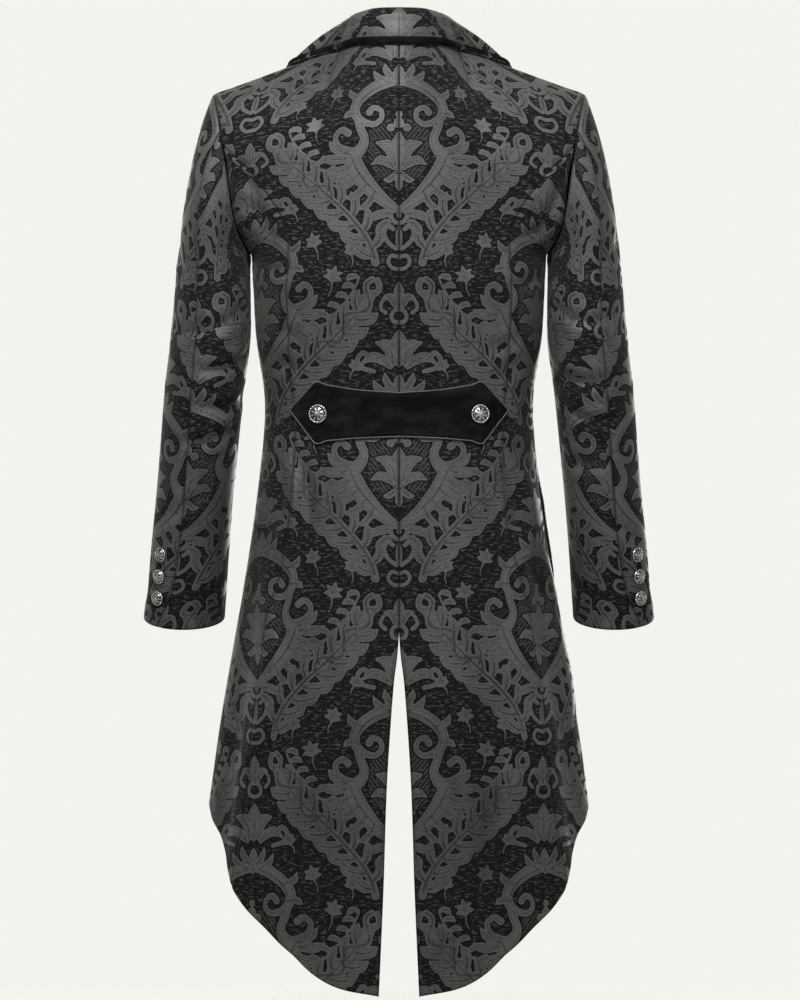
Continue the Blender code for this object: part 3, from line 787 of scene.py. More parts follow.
class Figure:
    """Half a repeat of the figure, held as how deep each place lies inside a shape."""

    def __init__(self):
        columns = int(REPEAT_WIDTH / WEAVE_STEP) + 1
        rows = int(REPEAT_HEIGHT / WEAVE_STEP)
        self.depth = np.full((rows, columns), -FAR)

    def dab(self, start, end, start_width, end_width):
        """One straight run of a stroke whose half width changes along it."""
        rows, columns = self.depth.shape
        for mirrored in (1, -1):
            a, b = np.array((start[0] * mirrored, start[1])), np.array((end[0] * mirrored, end[1]))
            reach = max(start_width, end_width) + FAR
            left = max(int((min(a[0], b[0]) - reach) / WEAVE_STEP), 0)
            right = min(int((max(a[0], b[0]) + reach) / WEAVE_STEP) + 1, columns)
            if right <= left:
                continue
            low = int((min(a[1], b[1]) - reach) / WEAVE_STEP)
            high = int((max(a[1], b[1]) + reach) / WEAVE_STEP) + 1
            up = np.arange(low, high)
            x, y = np.meshgrid(np.arange(left, right) * WEAVE_STEP, up * WEAVE_STEP)
            run = b - a
            along = ((x - a[0]) * run[0] + (y - a[1]) * run[1]) / max(run @ run, 1e-9)
            along = np.clip(along, 0.0, 1.0)
            away = np.hypot(x - a[0] - along * run[0], y - a[1] - along * run[1])
            depth = start_width + (end_width - start_width) * along - away
            place = np.ix_(up % rows, np.arange(left, right))
            self.depth[place] = np.maximum(self.depth[place], depth)

    def stroke(self, points, widths, steps=5):
        """A smooth stroke through points, with a half width at each of them."""
        knots = np.arange(len(points), dtype=float)
        fine = np.linspace(0, len(points) - 1, (len(points) - 1) * steps + 1)
        path = through(np.array(points, float), knots, fine)
        width = np.interp(fine, knots, np.array(widths, float))
        for i in range(len(fine) - 1):
            self.dab(path[i], path[i + 1], width[i], width[i + 1])

    def blade(self, base, tip, bend, shape, widths):
        """A stroke that bows to its left between two places; its shape is in shares: along, aside."""
        start, run = np.array(base, float), np.array(tip, float) - np.array(base, float)
        side = np.array((-run[1], run[0])) * bend
        self.stroke([start + run * along + side * aside for along, aside in shape], widths)

    def leaf(self, base, tip, width, bend=0.0):
        """A full, blunt leaf, bent to its left by a share of its length."""
        self.blade(base, tip, bend, LEAF_SHAPE, (width * 0.35, width * 0.95, width, width * 0.22))

    def rib(self, base, tip, width, bend):
        """The fine line down a leaf."""
        self.blade(base, tip, bend, RIB_SHAPE, (width, width, width * 0.8, 0.1))


LEAF_SHAPE = ((0, 0), (0.3, 0.8), (0.68, 1), (1, 0))
RIB_SHAPE = ((0, 0), (0.3, 0.8), (0.6, 0.95), (0.8, 0.7))


def through(values, at, want):
    """Values between rows of knots, on a smooth curve through them."""
    slopes = np.gradient(values, at, axis=0)
    i = np.clip(np.searchsorted(at, want, side="right") - 1, 0, len(at) - 2)
    span = at[i + 1] - at[i]
    t = (want - at[i]) / span
    shape = (-1,) + (1,) * (values.ndim - 1)
    t, span = t.reshape(shape), span.reshape(shape)
    start, end = values[i], values[i + 1]
    bend = (1 - t) * (slopes[i] * span - end + start) - t * (slopes[i + 1] * span - end + start)
    return start + (end - start) * t + bend * t * (1 - t)


# Strokes of the scrolled shield and its crown: points, and the half width at each.
SHIELD_STROKES = (
    (((0, 92), (15, 89), (31, 82), (46, 71), (54, 58), (51, 45), (41, 37)), (7, 8, 7.5, 7, 6.4, 5.6, 4.6)),
    (((41, 37), (29, 35), (21, 42), (22, 52), (31, 56), (36, 50)), (4.4, 3.6, 3.2, 3.2, 3.6, 4.4)),
    (((51, 46), (47, 31), (42, 18), (46, 6), (58, -4)), (5, 5, 5.4, 7, 9)),
    (((50, 3), (63, 6), (75, 13), (78, 24), (70, 31), (62, 26)), (4.2, 3.6, 3.3, 3.4, 3.8, 4.6)),
    (((58, -4), (52, -20), (39, -38), (22, -55), (4, -68)), (10.5, 12, 10.5, 8, 5)),
    (((0, -66), (8, -69), (10, -76), (6, -83), (0, -85)), (2.6, 2.6, 2.6, 2.6, 2.6)),
    (((3, -116), (13, -108), (18, -96), (13, -88), (7, -92)), (2.4, 2.6, 2.6, 2.4, 2.8)),
    (((0, -126), (9, -124), (13, -132), (7, -139), (0, -140)), (2.4, 2.2, 2.2, 2.2, 2.4)),
    (((0, 174), (7, 176), (9, 183), (5, 189), (0, 190)), (2.4, 2.4, 2.4, 2.4, 2.4)),
    (((30, 116), (44, 120), (50, 130), (43, 138), (36, 132)), (2.6, 2.8, 2.8, 3.0, 3.4)),
    (((8, 206), (18, 202), (22, 192), (16, 186)), (1.8, 2.2, 2.2, 2.6)),
)
SHIELD_RIBS = (
    (((8, 88), (30, 80), (45, 68), (50, 56)), (0.5, 0.7, 0.7, 0.4)),
    (((60, 0), (50, -22), (36, -40), (18, -56)), (0.5, 0.8, 0.8, 0.4)),
)
# Round fruits: middle, radius.
FRUITS = (((0, 36), 6.4), ((10, 30), 5.0), ((0, 47), 4.4), ((0, -76), 3.2))
HATCHED_FIELD = (((15, 16), (14, -8), (5, -34)), (23, 22, 8))

# Leaves that stand alone or in sprays: base, tip, half width, bend.
LONE_LEAVES = (
    ((0, 84), (0, 112), 6.5, 0.0),
    ((4, 92), (17, 114), 4.6, -0.12),
    ((7, 88), (31, 106), 4.6, -0.15),
    ((50, 50), (68, 46), 4.4, 0.16),
    ((42, 70), (62, 84), 4.6, -0.2),
    ((60, 0), (86, 18), 5.6, -0.1),
    ((62, -4), (95, 0), 6.2, -0.1),
    ((58, -14), (92, -20), 6.4, -0.12),
    ((50, -26), (80, -38), 6.0, -0.14),
    ((40, -38), (66, -54), 5.4, -0.14),
    ((30, -48), (50, -68), 4.6, -0.14),
    ((9, -74), (34, -82), 5.6, 0.14),
    ((9, -82), (27, -99), 4.8, 0.14),
    ((0, -90), (0, -116), 4.0, 0.0),
    ((0, -20), (0, 24), 9.5, 0.0),
    ((5, -16), (27, 12), 7.6, 0.22),
    ((6, -20), (33, -14), 5.6, 0.25),
    ((0, -26), (0, -46), 4.6, 0.0),
    ((4, -24), (19, -33), 4.0, -0.2),
    ((0, 124), (0, 164), 9.4, 0.0),
    ((7, 124), (27, 150), 7.6, 0.24),
    ((10, 120), (44, 126), 6.2, 0.26),
    ((0, 190), (0, 222), 6.4, 0.0),
    ((5, 192), (18, 206), 4.6, 0.24),
)
# Small buds on the ground: foot, size, lean in degrees.
SPRIGS = (
    (104, 34, 20, 14),
    (82, 76, 18, -16),
    (60, 168, 18, 8),
    (54, 118, 14, -22),
    (90, -64, 15, 26),
    (128, 66, 16, 0),
)
# The twisted cords below a pinch and the vine beside them.
CHAIN_START = 12
CHAIN_LENGTH = 118
CORD_SWING = 8.2
CORD_CROSSING = 24.0
CORD_HALF = 3.9
VINE_AWAY = 19.0

# The petals of a bud: spread in degrees, share of its size, half width, bend.
PETAL_FAN = (
    (-74, 0.62, 2.6, -0.2),
    (-38, 0.86, 3.0, -0.15),
    (0, 1.0, 3.2, 0.0),
    (38, 0.86, 3.0, 0.15),
    (74, 0.62, 2.6, 0.2),
)


def along_frame(start, length, steps):
    """Points along the pointed frame, with the way up it, from a height and for a length."""
    points, up = [], start
    for _ in range(steps + 1):
        points.append((band_line(up), up))
        slope = band_line(up + 0.5) - band_line(up - 0.5)
        up += length / steps / math.hypot(1.0, slope)
    return np.array(points)


# The climbing frond: its start above the pinch, its length, its stem, and the lobes along it.
FROND_START = 8
FROND_LENGTH = 184
FROND_STEM = (5.0, 2.4)
LOBES = 8
LOBE_PLACES = (4, 11)
LOBE_SIZE = (27, 13)
LOBE_WAY = (0.74, 0.62)
LOBE_BEND = -0.14
LOBE_SIDES = (
    # side, reach, half width, shift up the stem
    (1, 1.0, 7.4, 0),
    (-1, 0.84, 6.0, 5),
)


def draw_frond(figure, ribs):
    """A large acanthus leaf that climbs the frame from its pinch, with a lobe on each side at every step."""
    line = along_frame(PINCH + FROND_START, FROND_LENGTH, FROND_LENGTH // 2)
    figure.stroke(line[::4], np.linspace(*FROND_STEM, len(line[::4])), 2)
    ribs.stroke(line[2:-8:4], np.linspace(0.9, 0.5, len(line[2:-8:4])), 2)
    for step in range(LOBES):
        at = LOBE_PLACES[0] + step * LOBE_PLACES[1]
        way = line[at + 1] - line[at - 1]
        way = way / np.hypot(*way)
        side = np.array((way[1], -way[0]))
        size = LOBE_SIZE[0] + LOBE_SIZE[1] * math.sin(math.pi * (step + 1.2) / (LOBES + 1))
        for turn, reach, width, shift in LOBE_SIDES:
            base = line[min(at + shift, len(line) - 1)]
            tip = base + (way * LOBE_WAY[0] + side * turn * LOBE_WAY[1]) * size * reach
            figure.leaf(base + side * turn * 2.0, tip, width, LOBE_BEND * turn)
            ribs.rib(base + side * turn * 3.5, tip, 0.85, LOBE_BEND * turn)
    figure.leaf(line[-8], line[-1] + (line[-1] - line[-8]) * 1.3, 8.0)


def draw_chain(figure, ribs):
    """Two thick cords that twist round each other below each pinch, beside a fine leafy line."""
    line = along_frame(PINCH + REPEAT_HEIGHT - CHAIN_START, -CHAIN_LENGTH, CHAIN_LENGTH)[::-1]
    way = np.gradient(line, axis=0)
    way = way / np.hypot(way[:, 0], way[:, 1])[:, None]
    side = np.stack((way[:, 1], -way[:, 0]), axis=1)
    swing = CORD_SWING * np.sin(np.arange(len(line)) * math.pi / CORD_CROSSING)[:, None]
    for turn in (1, -1):
        figure.stroke((line + side * swing * turn)[::3], np.full(len(line[::3]), CORD_HALF), 2)
    ribs.stroke((line + side * swing + side * 0.6)[::3], np.full(len(line[::3]), 0.6), 2)
    outer = line + side * VINE_AWAY
    figure.stroke(outer[::6], np.full(len(outer[::6]), 1.3), 2)
    for i in range(8, len(line), 18):
        base = line[i] + side[i] * 19.5
        figure.leaf(base, base + side[i] * 13 - way[i] * 8, 3.8, 0.2)


def draw_sprig(figure, foot_x, foot_y, size, lean):
    """A fan of five petals on a curved stalk."""
    for spread, reach, width, bend in PETAL_FAN:
        turn = math.radians(spread + lean)
        tip = (foot_x + size * reach * math.sin(turn), foot_y + size * reach * math.cos(turn))
        figure.leaf((foot_x, foot_y), tip, width, bend)
    stem = math.radians(lean)
    foot = (foot_x - 0.9 * size * math.sin(stem), foot_y - 0.9 * size * math.cos(stem))
    half = (0.5 * (foot_x + foot[0]) + 1.8, 0.5 * (foot_y + foot[1]))
    figure.stroke([foot, half, (foot_x, foot_y)], (0.7, 0.9, 1.2))


def draw_shield(figure, ribs):
    """The scrolled shield in the middle of each frame, its crown and the leaves round it."""
    for points, widths in SHIELD_STROKES:
        figure.stroke(points, widths)
    for points, widths in SHIELD_RIBS:
        ribs.stroke(points, widths)
    for (x, y), radius in FRUITS:
        figure.dab((x, y), (x, y + 0.1), radius, radius)
    for base, tip, width, bend in LONE_LEAVES:
        figure.leaf(base, tip, width, bend)
        ribs.rib(base, tip, 0.55, bend)


@lru_cache(maxsize=1)
def woven_figure():
    """Depth inside the figure, inside its fine lines and inside the hatched fields, over half a repeat."""
    figure, ribs, field = Figure(), Figure(), Figure()
    draw_shield(figure, ribs)
    draw_frond(figure, ribs)
    draw_chain(figure, ribs)
    for sprig in SPRIGS:
        draw_sprig(figure, *sprig)
    field.stroke(*HATCHED_FIELD)
    layers = []
    for layer in (figure, ribs, field):
        half_drop = np.roll(layer.depth[:, ::-1], int(REPEAT_HEIGHT / 2 / WEAVE_STEP), axis=0)
        layers.append(np.maximum(layer.depth, half_drop))
    return np.stack(layers, axis=-1)


def figure_at(across, up):
    """The three depths at places of the cloth, given across it from a mirror line and up it."""
    woven = woven_figure()
    rows, columns = woven.shape[:2]
    u = np.abs((np.abs(across) + REPEAT_WIDTH) % (2 * REPEAT_WIDTH) - REPEAT_WIDTH) / WEAVE_STEP
    v = ((up - FIGURE_MIDDLE) / WEAVE_STEP) % rows
    column = np.clip(u.astype(int), 0, columns - 2)
    row = v.astype(int) % rows
    s, t = (u - column)[..., None], (v - np.floor(v))[..., None]
    above = (row + 1) % rows
    low = woven[row, column] * (1 - s) + woven[row, column + 1] * s
    high = woven[above, column] * (1 - s) + woven[above, column + 1] * s
    return low * (1 - t) + high * t

# How the cloth is laid and divided.
WEAVE_THICK = 1.3
COARSE = 7
BACK_FINE = 2.1
TOP_SLEEVE_FINE = 2.3
UNDER_SLEEVE_FINE = 2.6
SIDE_FINE = 2.4
FRONT_FINE = 3.4
SMALL_FINE = 2.6
COLLAR_HALF = 84
COLLAR_UP = 46.0
SLEEVE_MIRROR = -58.0
YOKE_LEVELS = (0.0, 0.06, 0.12, 0.19, 0.28, 0.37, 0.46, 0.55, 0.64, 0.72, 0.8, 0.87, 0.93, 0.97, 1.0)
SHARES = (0.0, 0.06, 0.13, 0.2, 0.28, 0.36, 0.4, 0.46, 0.54, 0.64, 0.75, 0.87, 0.95, 1.0)
BODY_LEVELS = (-285, -300, -316, -330, -345, -360, -375, -390, -402, -416, -430)
SKIRT_LEVELS = 24

# Creases that the cloth keeps when worn: start, end, half width, depth; a ridge has a negative depth.
BACK_CREASES = (
    # x, z, x, z, half_width, depth
    (205, -120, 168, -205, 9, 2.6),
    (196, -170, 150, -232, 8, 2.0),
    (178, -250, 128, -268, 10, 1.6),
    (150, -330, 112, -352, 9, 1.5),
    (148, -372, 118, -384, 8, 1.3),
    (60, -372, 12, -366, 9, 0.9),
    (134, -470, 152, -600, 9, -2.6),
    (150, -590, 160, -720, 10, 2.4),
    (122, -480, 132, -640, 9, 1.8),
    (168, -640, 186, -860, 12, -2.8),
    (96, -700, 112, -980, 15, 2.2),
    (60, -760, 66, -1040, 14, -2.0),
    (-201, -126, -172, -196, 9, 2.4),
    (-190, -180, -146, -222, 7, 1.8),
    (-172, -262, -132, -276, 9, 1.7),
    (-146, -338, -104, -349, 8, 1.3),
    (-140, -366, -121, -388, 9, 1.4),
    (-40, -358, -8, -372, 9, 0.8),
    (-132, -474, -148, -630, 10, -2.4),
    (-152, -600, -164, -740, 9, 2.3),
    (-118, -476, -126, -610, 8, 1.6),
    (-172, -660, -190, -840, 11, -2.6),
    (-90, -720, -104, -960, 14, 2.0),
    (-50, -800, -60, -1060, 15, -1.8),
)
FRONT_CREASES = (
    (196, -130, 150, -186, 10, 2.4),
    (176, -238, 120, -262, 10, 1.8),
    (120, -330, 24, -326, 9, 1.5),
    (110, -392, 22, -384, 9, 1.4),
    (100, -448, 20, -440, 9, 1.2),
    (150, -470, 170, -700, 12, -2.4),
    (-192, -138, -146, -178, 9, 2.2),
    (-170, -246, -126, -258, 9, 1.6),
    (-112, -336, -20, -328, 8, 1.4),
    (-104, -398, -18, -386, 9, 1.3),
    (-146, -480, -164, -690, 11, -2.2),
)
# Creases of a sleeve, by the turn round the arm and the height.
SLEEVE_CREASES = (
    # side, turn, z, turn, z, half_width, depth
    (1, -60, -300, 60, -330, 9, 2.2),
    (1, -80, -352, 30, -376, 8, 2.0),
    (1, -100, -402, 20, -420, 9, 2.6),
    (1, -70, -440, 50, -462, 8, 1.8),
    (1, 40, -262, 90, -215, 9, 1.6),
    (1, -20, -520, 70, -556, 10, 1.5),
    (1, 20, -596, 60, -640, 8, 1.1),
    (-1, -70, -292, 40, -318, 8, 2.0),
    (-1, -90, -366, 40, -388, 9, 2.3),
    (-1, -60, -414, 30, -440, 8, 2.4),
    (-1, 30, -250, 80, -205, 8, 1.4),
    (-1, -90, -470, 20, -488, 9, 1.8),
    (-1, 0, -540, 60, -584, 9, 1.4),
)
SEAMED_BOTH = ("first", "last", "top")
SEAMED_LAST = ("last", "top")
SEAM_SINK = 0.75
SEAM_WIDTH = 2.3
CREASE_DEPTH = 1.5
SEAM_PUFF = 0.35
# Width of the painted shade beside a seam or a free edge.
SEAM_SHADE = 1.7
# Middle and width of the low swell beside a seam; sink, width and share of painted shade of a free edge.
SEAM_PUFF_PLACE = (7.0, 4.5)
FREE_EDGE = (0.5, 1.1, 0.6)

# A crease bows by a share of its length; the bank beside it is a share as high, some half widths away.
CREASE_BOW = 0.12
CREASE_BANK = (0.4, 1.7)

# Millimetres round a sleeve for each degree of turn.
TURN_TO_RUN = 0.85
SLEEVE_LEVELS = [i / 12 for i in range(12)] + [1 + i / 26 for i in range(27)]
SLEEVE_SHARES = 12
SIDE_SHARES = tuple(i / 6 for i in range(7))
FRONT_SHARES = tuple(i / 13 for i in range(14))


def bell(distance, width):
    """1 in the middle, falling off smoothly over a width."""
    return np.exp(-((distance / width) ** 2))


def panel_levels(highest=1.0):
    """Levels of a panel from its top down to its lower edge."""
    levels = [("yoke", up) for up in reversed(YOKE_LEVELS) if up <= highest]
    levels += [("body", height) for height in BODY_LEVELS]
    return levels + [("skirt", (i + 1) / SKIRT_LEVELS) for i in range(SKIRT_LEVELS)]


def places(rows):
    """Rows of points as one array."""
    return np.array([[tuple(point) for point in row] for row in rows])


def laid_out(grid):
    """Distances over a grid of points: along its rows and down its columns, in millimetres."""
    across = np.linalg.norm(np.diff(grid, axis=1), axis=2)
    across = np.concatenate([np.zeros((len(grid), 1)), np.cumsum(across, axis=1)], axis=1)
    down = np.linalg.norm(np.diff(grid, axis=0), axis=2)
    down = np.concatenate([np.zeros((1, grid.shape[1])), np.cumsum(down, axis=0)], axis=0)
    return across, down


def respaced(grid, columns, rows):
    """The same surface, with all that it carries, at evenly spaced points. It starts with a place."""
    across, down = laid_out(grid[..., :3])
    for count, run in ((columns, across.mean(axis=0)), (rows, down.mean(axis=1))):
        grid = through(grid.transpose(1, 0, 2), run, np.linspace(0, run[-1], count))
    return grid


def finely(grid, spacing):
    """The same surface at points about a spacing apart, in numbers that the coarse wrong side divides."""
    across, down = laid_out(grid[..., :3])
    lengths = across[:, -1].max(), down[-1].max()
    return respaced(grid, *(int(round(length / spacing / COARSE)) * COARSE + 1 for length in lengths))


def standing_off(grid, outside):
    """Unit directions out of a surface, on the side that a rough direction points to."""
    way = np.cross(np.gradient(grid, axis=1), np.gradient(grid, axis=0))
    way /= np.linalg.norm(way, axis=2, keepdims=True) + 1e-9
    middle = (grid.shape[0] // 2, grid.shape[1] // 2)
    return way if way[middle] @ np.array(outside) > 0 else -way


def creased(spots, creases):
    """How far creases sink each spot, given as two flat coordinates, between the low banks beside them."""
    sink = np.zeros(spots.shape[:-1])
    bank, bank_away = CREASE_BANK
    for x0, y0, x1, y1, half_width, depth in creases:
        run, length = np.array((x1 - x0, y1 - y0), float), math.hypot(x1 - x0, y1 - y0)
        offset = spots - np.array((x0, y0))
        along = np.clip(offset @ run / length**2, 0, 1)
        bow = CREASE_BOW * length * np.sin(np.pi * along)
        beside = (offset[..., 0] * run[1] - offset[..., 1] * run[0]) / length - bow
        ends = along * (1 - along) * 4
        trough = np.sqrt(ends) * bell(beside, half_width)
        banks = bank * ends * bell(np.abs(beside) - bank_away * half_width, half_width)
        sink += depth * CREASE_DEPTH * (trough - banks)
    return sink


def seam_sink_and_painted_shade(grid, seams):
    """How far the cloth sinks at its seams and free edges, and the painted shade at each place: stronger the
    nearer it is to a seam, weaker at a free edge.
    """
    across, down = laid_out(grid)
    edges = {"first": across, "last": across[:, -1:] - across, "top": down, "bottom": down[-1:] - down}
    sink, near = np.zeros(grid.shape[:2]), np.zeros(grid.shape[:2])
    puff_middle, puff_width = SEAM_PUFF_PLACE
    edge_sink, edge_width, edge_shade = FREE_EDGE
    for edge, distance in edges.items():
        # Painted shade: darkest on a seam, fading within a few millimetres, and weaker at a free edge.
        shade = bell(distance, SEAM_SHADE)
        if edge in seams:
            sink += SEAM_SINK * bell(distance, SEAM_WIDTH)
            sink -= SEAM_PUFF * bell(distance - puff_middle, puff_width)
        else:
            sink += edge_sink * bell(distance, edge_width)
            shade *= edge_shade
        near = np.maximum(near, shade)
    return sink, near


def mesh_object(name, shell, place, materials, numbers, flat):
    """A finished object from a bmesh, its vertices placed by a function of their first places."""
    mesh = bpy.data.meshes.new(name)
    shell.to_mesh(mesh)
    shell.free()
    start = np.empty(len(mesh.vertices) * 3)
    mesh.vertices.foreach_get("co", start)
    points, rows, columns = place(start.reshape(-1, 3))
    mesh.vertices.foreach_set("co", (points * MM).astype(np.float32).ravel())
    for label, values in numbers.items():
        store = mesh.attributes.new(label, "FLOAT", "POINT")
        store.data.foreach_set("value", values[rows, columns].astype(np.float32).ravel())
    corners = np.empty(len(mesh.loops), int)
    mesh.loops.foreach_get("vertex_index", corners)
    laid = np.stack([axis[rows, columns] for axis in flat], axis=1) * MM
    mesh.uv_layers.new(name="cloth").data.foreach_set("uv", laid[corners].astype(np.float32).ravel())
    mesh.shade_smooth()
    for material in materials:
        mesh.materials.append(material)
    return facing_out(in_scene(name, mesh))


def facing_out(made):
    """Turns the faces of a closed piece outward."""
    mesh = made.data
    mesh.calc_loop_triangles()
    corners = np.empty(len(mesh.loop_triangles) * 3, int)
    mesh.loop_triangles.foreach_get("vertices", corners)
    spots = np.empty(len(mesh.vertices) * 3)
    mesh.vertices.foreach_get("co", spots)
    a, b, c = spots.reshape(-1, 3)[corners].reshape(-1, 3, 3).transpose(1, 0, 2)
    if np.einsum("ij,ij->", a - a[0], np.cross(b - a[0], c - a[0])) < 0:
        mesh.flip_normals()
    return made


def square_grid(shell, columns, rows):
    """Vertices of a flat grid one unit wide."""
    return bmesh.ops.create_grid(shell, x_segments=columns, y_segments=rows, size=0.5)["verts"]


def raised(shell, verts):
    """Lifts vertices by one unit, to where the other side of the cloth is made."""
    bmesh.ops.translate(shell, verts=verts, vec=(0, 0, 1))


def verts_among(items):
    return [item for item in items if isinstance(item, bmesh.types.BMVert)]


def grid_place(start, rows, columns):
    """Row and column of each vertex of a flat grid, and whether it is on the raised side."""
    row = np.rint((start[:, 1] + 0.5) * rows).astype(int)
    column = np.rint((start[:, 0] + 0.5) * columns).astype(int)
    return row, column, (start[:, 2] > 0.5)[:, None]


def cloth_panel(name, outside, away, numbers, flat):
    """A panel: a fine right side, a plain wrong side, and an edge of the cloth's thickness between them."""
    rows, columns = outside.shape[0] - 1, outside.shape[1] - 1
    shell = bmesh.new()
    square_grid(shell, columns, rows)
    edges = [edge for edge in shell.edges if edge.is_boundary]
    raised(shell, verts_among(bmesh.ops.extrude_edge_only(shell, edges=edges)["geom"]))
    coarse = square_grid(shell, columns // COARSE, rows // COARSE)
    raised(shell, coarse)
    plain = {face for vert in coarse for face in vert.link_faces}
    border = {edge for face in plain for edge in face.edges if edge.is_boundary}
    for face in plain:
        face.material_index = 1
    bmesh.ops.subdivide_edges(shell, edges=list(border), cuts=COARSE - 1)
    close = [vert for vert in shell.verts if vert.co.z > 0.5 and max(abs(vert.co.x), abs(vert.co.y)) > 0.4999]
    bmesh.ops.remove_doubles(shell, verts=close, dist=0.0001)
    bmesh.ops.recalc_face_normals(shell, faces=shell.faces)

    def place(start):
        row, column, wrong_side = grid_place(start, rows, columns)
        return outside[row, column] - away[row, column] * wrong_side * WEAVE_THICK, row, column

    return mesh_object(name, shell, place, (damask, lining), numbers, flat)


def closed_cloth(name, outside, inside, material, numbers, flat):
    """A closed piece of cloth between an outer and an inner grid of points."""
    rows, columns = outside.shape[0] - 1, outside.shape[1] - 1
    shell = bmesh.new()
    square_grid(shell, columns, rows)
    copied = bmesh.ops.extrude_face_region(shell, geom=shell.faces[:], use_keep_orig=True)["geom"]
    raised(shell, verts_among(copied))
    bmesh.ops.recalc_face_normals(shell, faces=shell.faces)

    def place(start):
        row, column, right_side = grid_place(start, rows, columns)
        return np.where(right_side, outside[row, column], inside[row, column]), row, column

    return mesh_object(name, shell, place, (material,), numbers, flat)


def woven_numbers(across, up, painted_seam_shade=None):
    """What the damask's finish reads at each point of the cloth."""
    depths = figure_at(across, up)
    numbers = {name: depths[..., i] for i, name in enumerate(("figure", "ribs", "field"))}
    # The seam number is painted shade beside seams and free edges.
    return numbers if painted_seam_shade is None else {**numbers, "seam": painted_seam_shade}


def part_of_coat(piece, node):
    """Puts a piece in the place of its solid."""
    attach(piece, "root")
    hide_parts(node)


def sewn(piece, node, slot, flat, area, with_pieces=()):
    """Puts a sheet of cloth in the place of its node's solid; its finish and the size it was cut to are not
    used.
    """
    part_of_coat(piece, node)


def cut_size(grid, across, up):
    """Width, length and area of a panel laid flat, in metres, from its places on the cloth."""
    width, length = np.ptp(across) * MM, np.ptp(up) * MM
    cell = np.linalg.norm(np.cross(np.diff(grid, axis=1)[:-1], np.diff(grid, axis=0)[:, :-1]), axis=2)
    return (round(width, 3), round(length, 3)), round(float(min(cell.sum() * MM * MM, width * length)), 4)


def level_run(point_at, first, last):
    """Length of a curve between two of its marks."""
    way = [point_at(first + (last - first) * i / 6) for i in range(7)]
    return sum((b - a).length for a, b in zip(way, way[1:]))


def round_from_middle(point):
    """Distance round the body, level, from the centre back or the centre front."""
    front = point[1] < 0
    angle = angle_at(point[0], point[2], front)
    return level_run(lambda turn: ring(turn, point[2]), 180.0 if front else 0.0, angle)


def yoke_start(name, row, level):
    """Distance on the yoke from the centre to the first point of a row."""
    if not name.startswith("side"):
        return abs(row[0].x)
    return level_run(lambda share: yoke_back(share, level[1]), 0.0, seam_share(level[1]))


def cloth_places(name, rough, levels):
    """Each rough point with where it lies on the cloth: across it from the centre, and up it."""
    points = places(rough)
    across, down = laid_out(points)
    up = YOKE + down[levels.index(("yoke", 0.0))] - down
    for i, level in enumerate(levels):
        if level[0] == "yoke":
            across[i] += yoke_start(name, rough[i], level)
        else:
            up[i] = points[i, :, 2]
            across[i] = [round_from_middle(point) for point in points[i]]
    return np.concatenate([points, across[..., None], up[..., None]], axis=2)


def sew_panel(name, side, grid, away, across, up, sink, seams):
    """Makes a panel of damask from its smooth form, on its side of the coat; gives its worn form."""
    grid, away = grid * (side, 1, 1), away * (side, 1, 1)
    # near is the painted shade beside this panel's seams and free edges.
    seam_sink, near = seam_sink_and_painted_shade(grid, seams)
    worn = grid - away * (sink + seam_sink)[..., None]
    piece = cloth_panel(f"cloth_{name}", worn, away, woven_numbers(across, up, near), (across, up))
    sewn(piece, name, "damask", *cut_size(grid, across, up))
    return worn, away


def body_panel(name, side, point_at, shares, highest, spacing, seams, creases):
    """One panel of the body on one side, with its figure and creases; a left front is lapped."""
    levels = panel_levels(highest)
    rough = [[point_at(share, level) for share in shares] for level in levels]
    if name == "front_left":
        rough = [[lap(point) for point in row] for row in rough]
    packed = finely(cloth_places(name, rough, levels), spacing)
    grid, across, up = packed[..., :3], packed[..., 3], packed[..., 4]
    middle = Vector(grid[grid.shape[0] // 2, grid.shape[1] // 2])
    away = standing_off(grid, tuple(outward(middle)))
    sink = creased(np.stack([grid[..., 0] * side, grid[..., 2]], axis=-1), creases)
    return sew_panel(name, side, grid, away, across, up, sink, seams)


def sleeve_panel(name, side, first, last, spacing, mirror_line, backward):
    """One of the two pieces of a sleeve, between two seams given as turns."""
    rough = []
    for along in SLEEVE_LEVELS:
        start, end = first(along), last(along)
        turns = [start + (end - start) * i / SLEEVE_SHARES for i in range(SLEEVE_SHARES + 1)]
        rough.append([(*sleeve_point(turn, along), turn) for turn in turns])
    packed = finely(np.array(rough), spacing)
    grid, turn = packed[..., :3], (packed[..., 3] + 180) % 360 - 180
    across, down = laid_out(grid)
    if backward:
        across = across[:, -1:] - across
    middle = (grid.shape[0] // 2, grid.shape[1] // 2)
    facing = math.radians(turn[middle])
    away = standing_off(grid, (math.sin(facing), math.cos(facing), 0.0))
    up = grid[-1, middle[1], 2] + down[-1:] - down
    creases = [
        (t0 * TURN_TO_RUN, z0, t1 * TURN_TO_RUN, z1, width, depth)
        for at, t0, z0, t1, z1, width, depth in SLEEVE_CREASES
        if at == side
    ]
    sink = creased(np.stack([turn * TURN_TO_RUN, grid[..., 2]], axis=-1), creases)
    return sew_panel(name, side, grid, away, mirror_line + across, up, sink, SEAMED_BOTH)


def fore_seam(_):
    return FORE_SEAM_ANGLE


def hind_seam_again(along):
    return 360 + hind_seam(along)


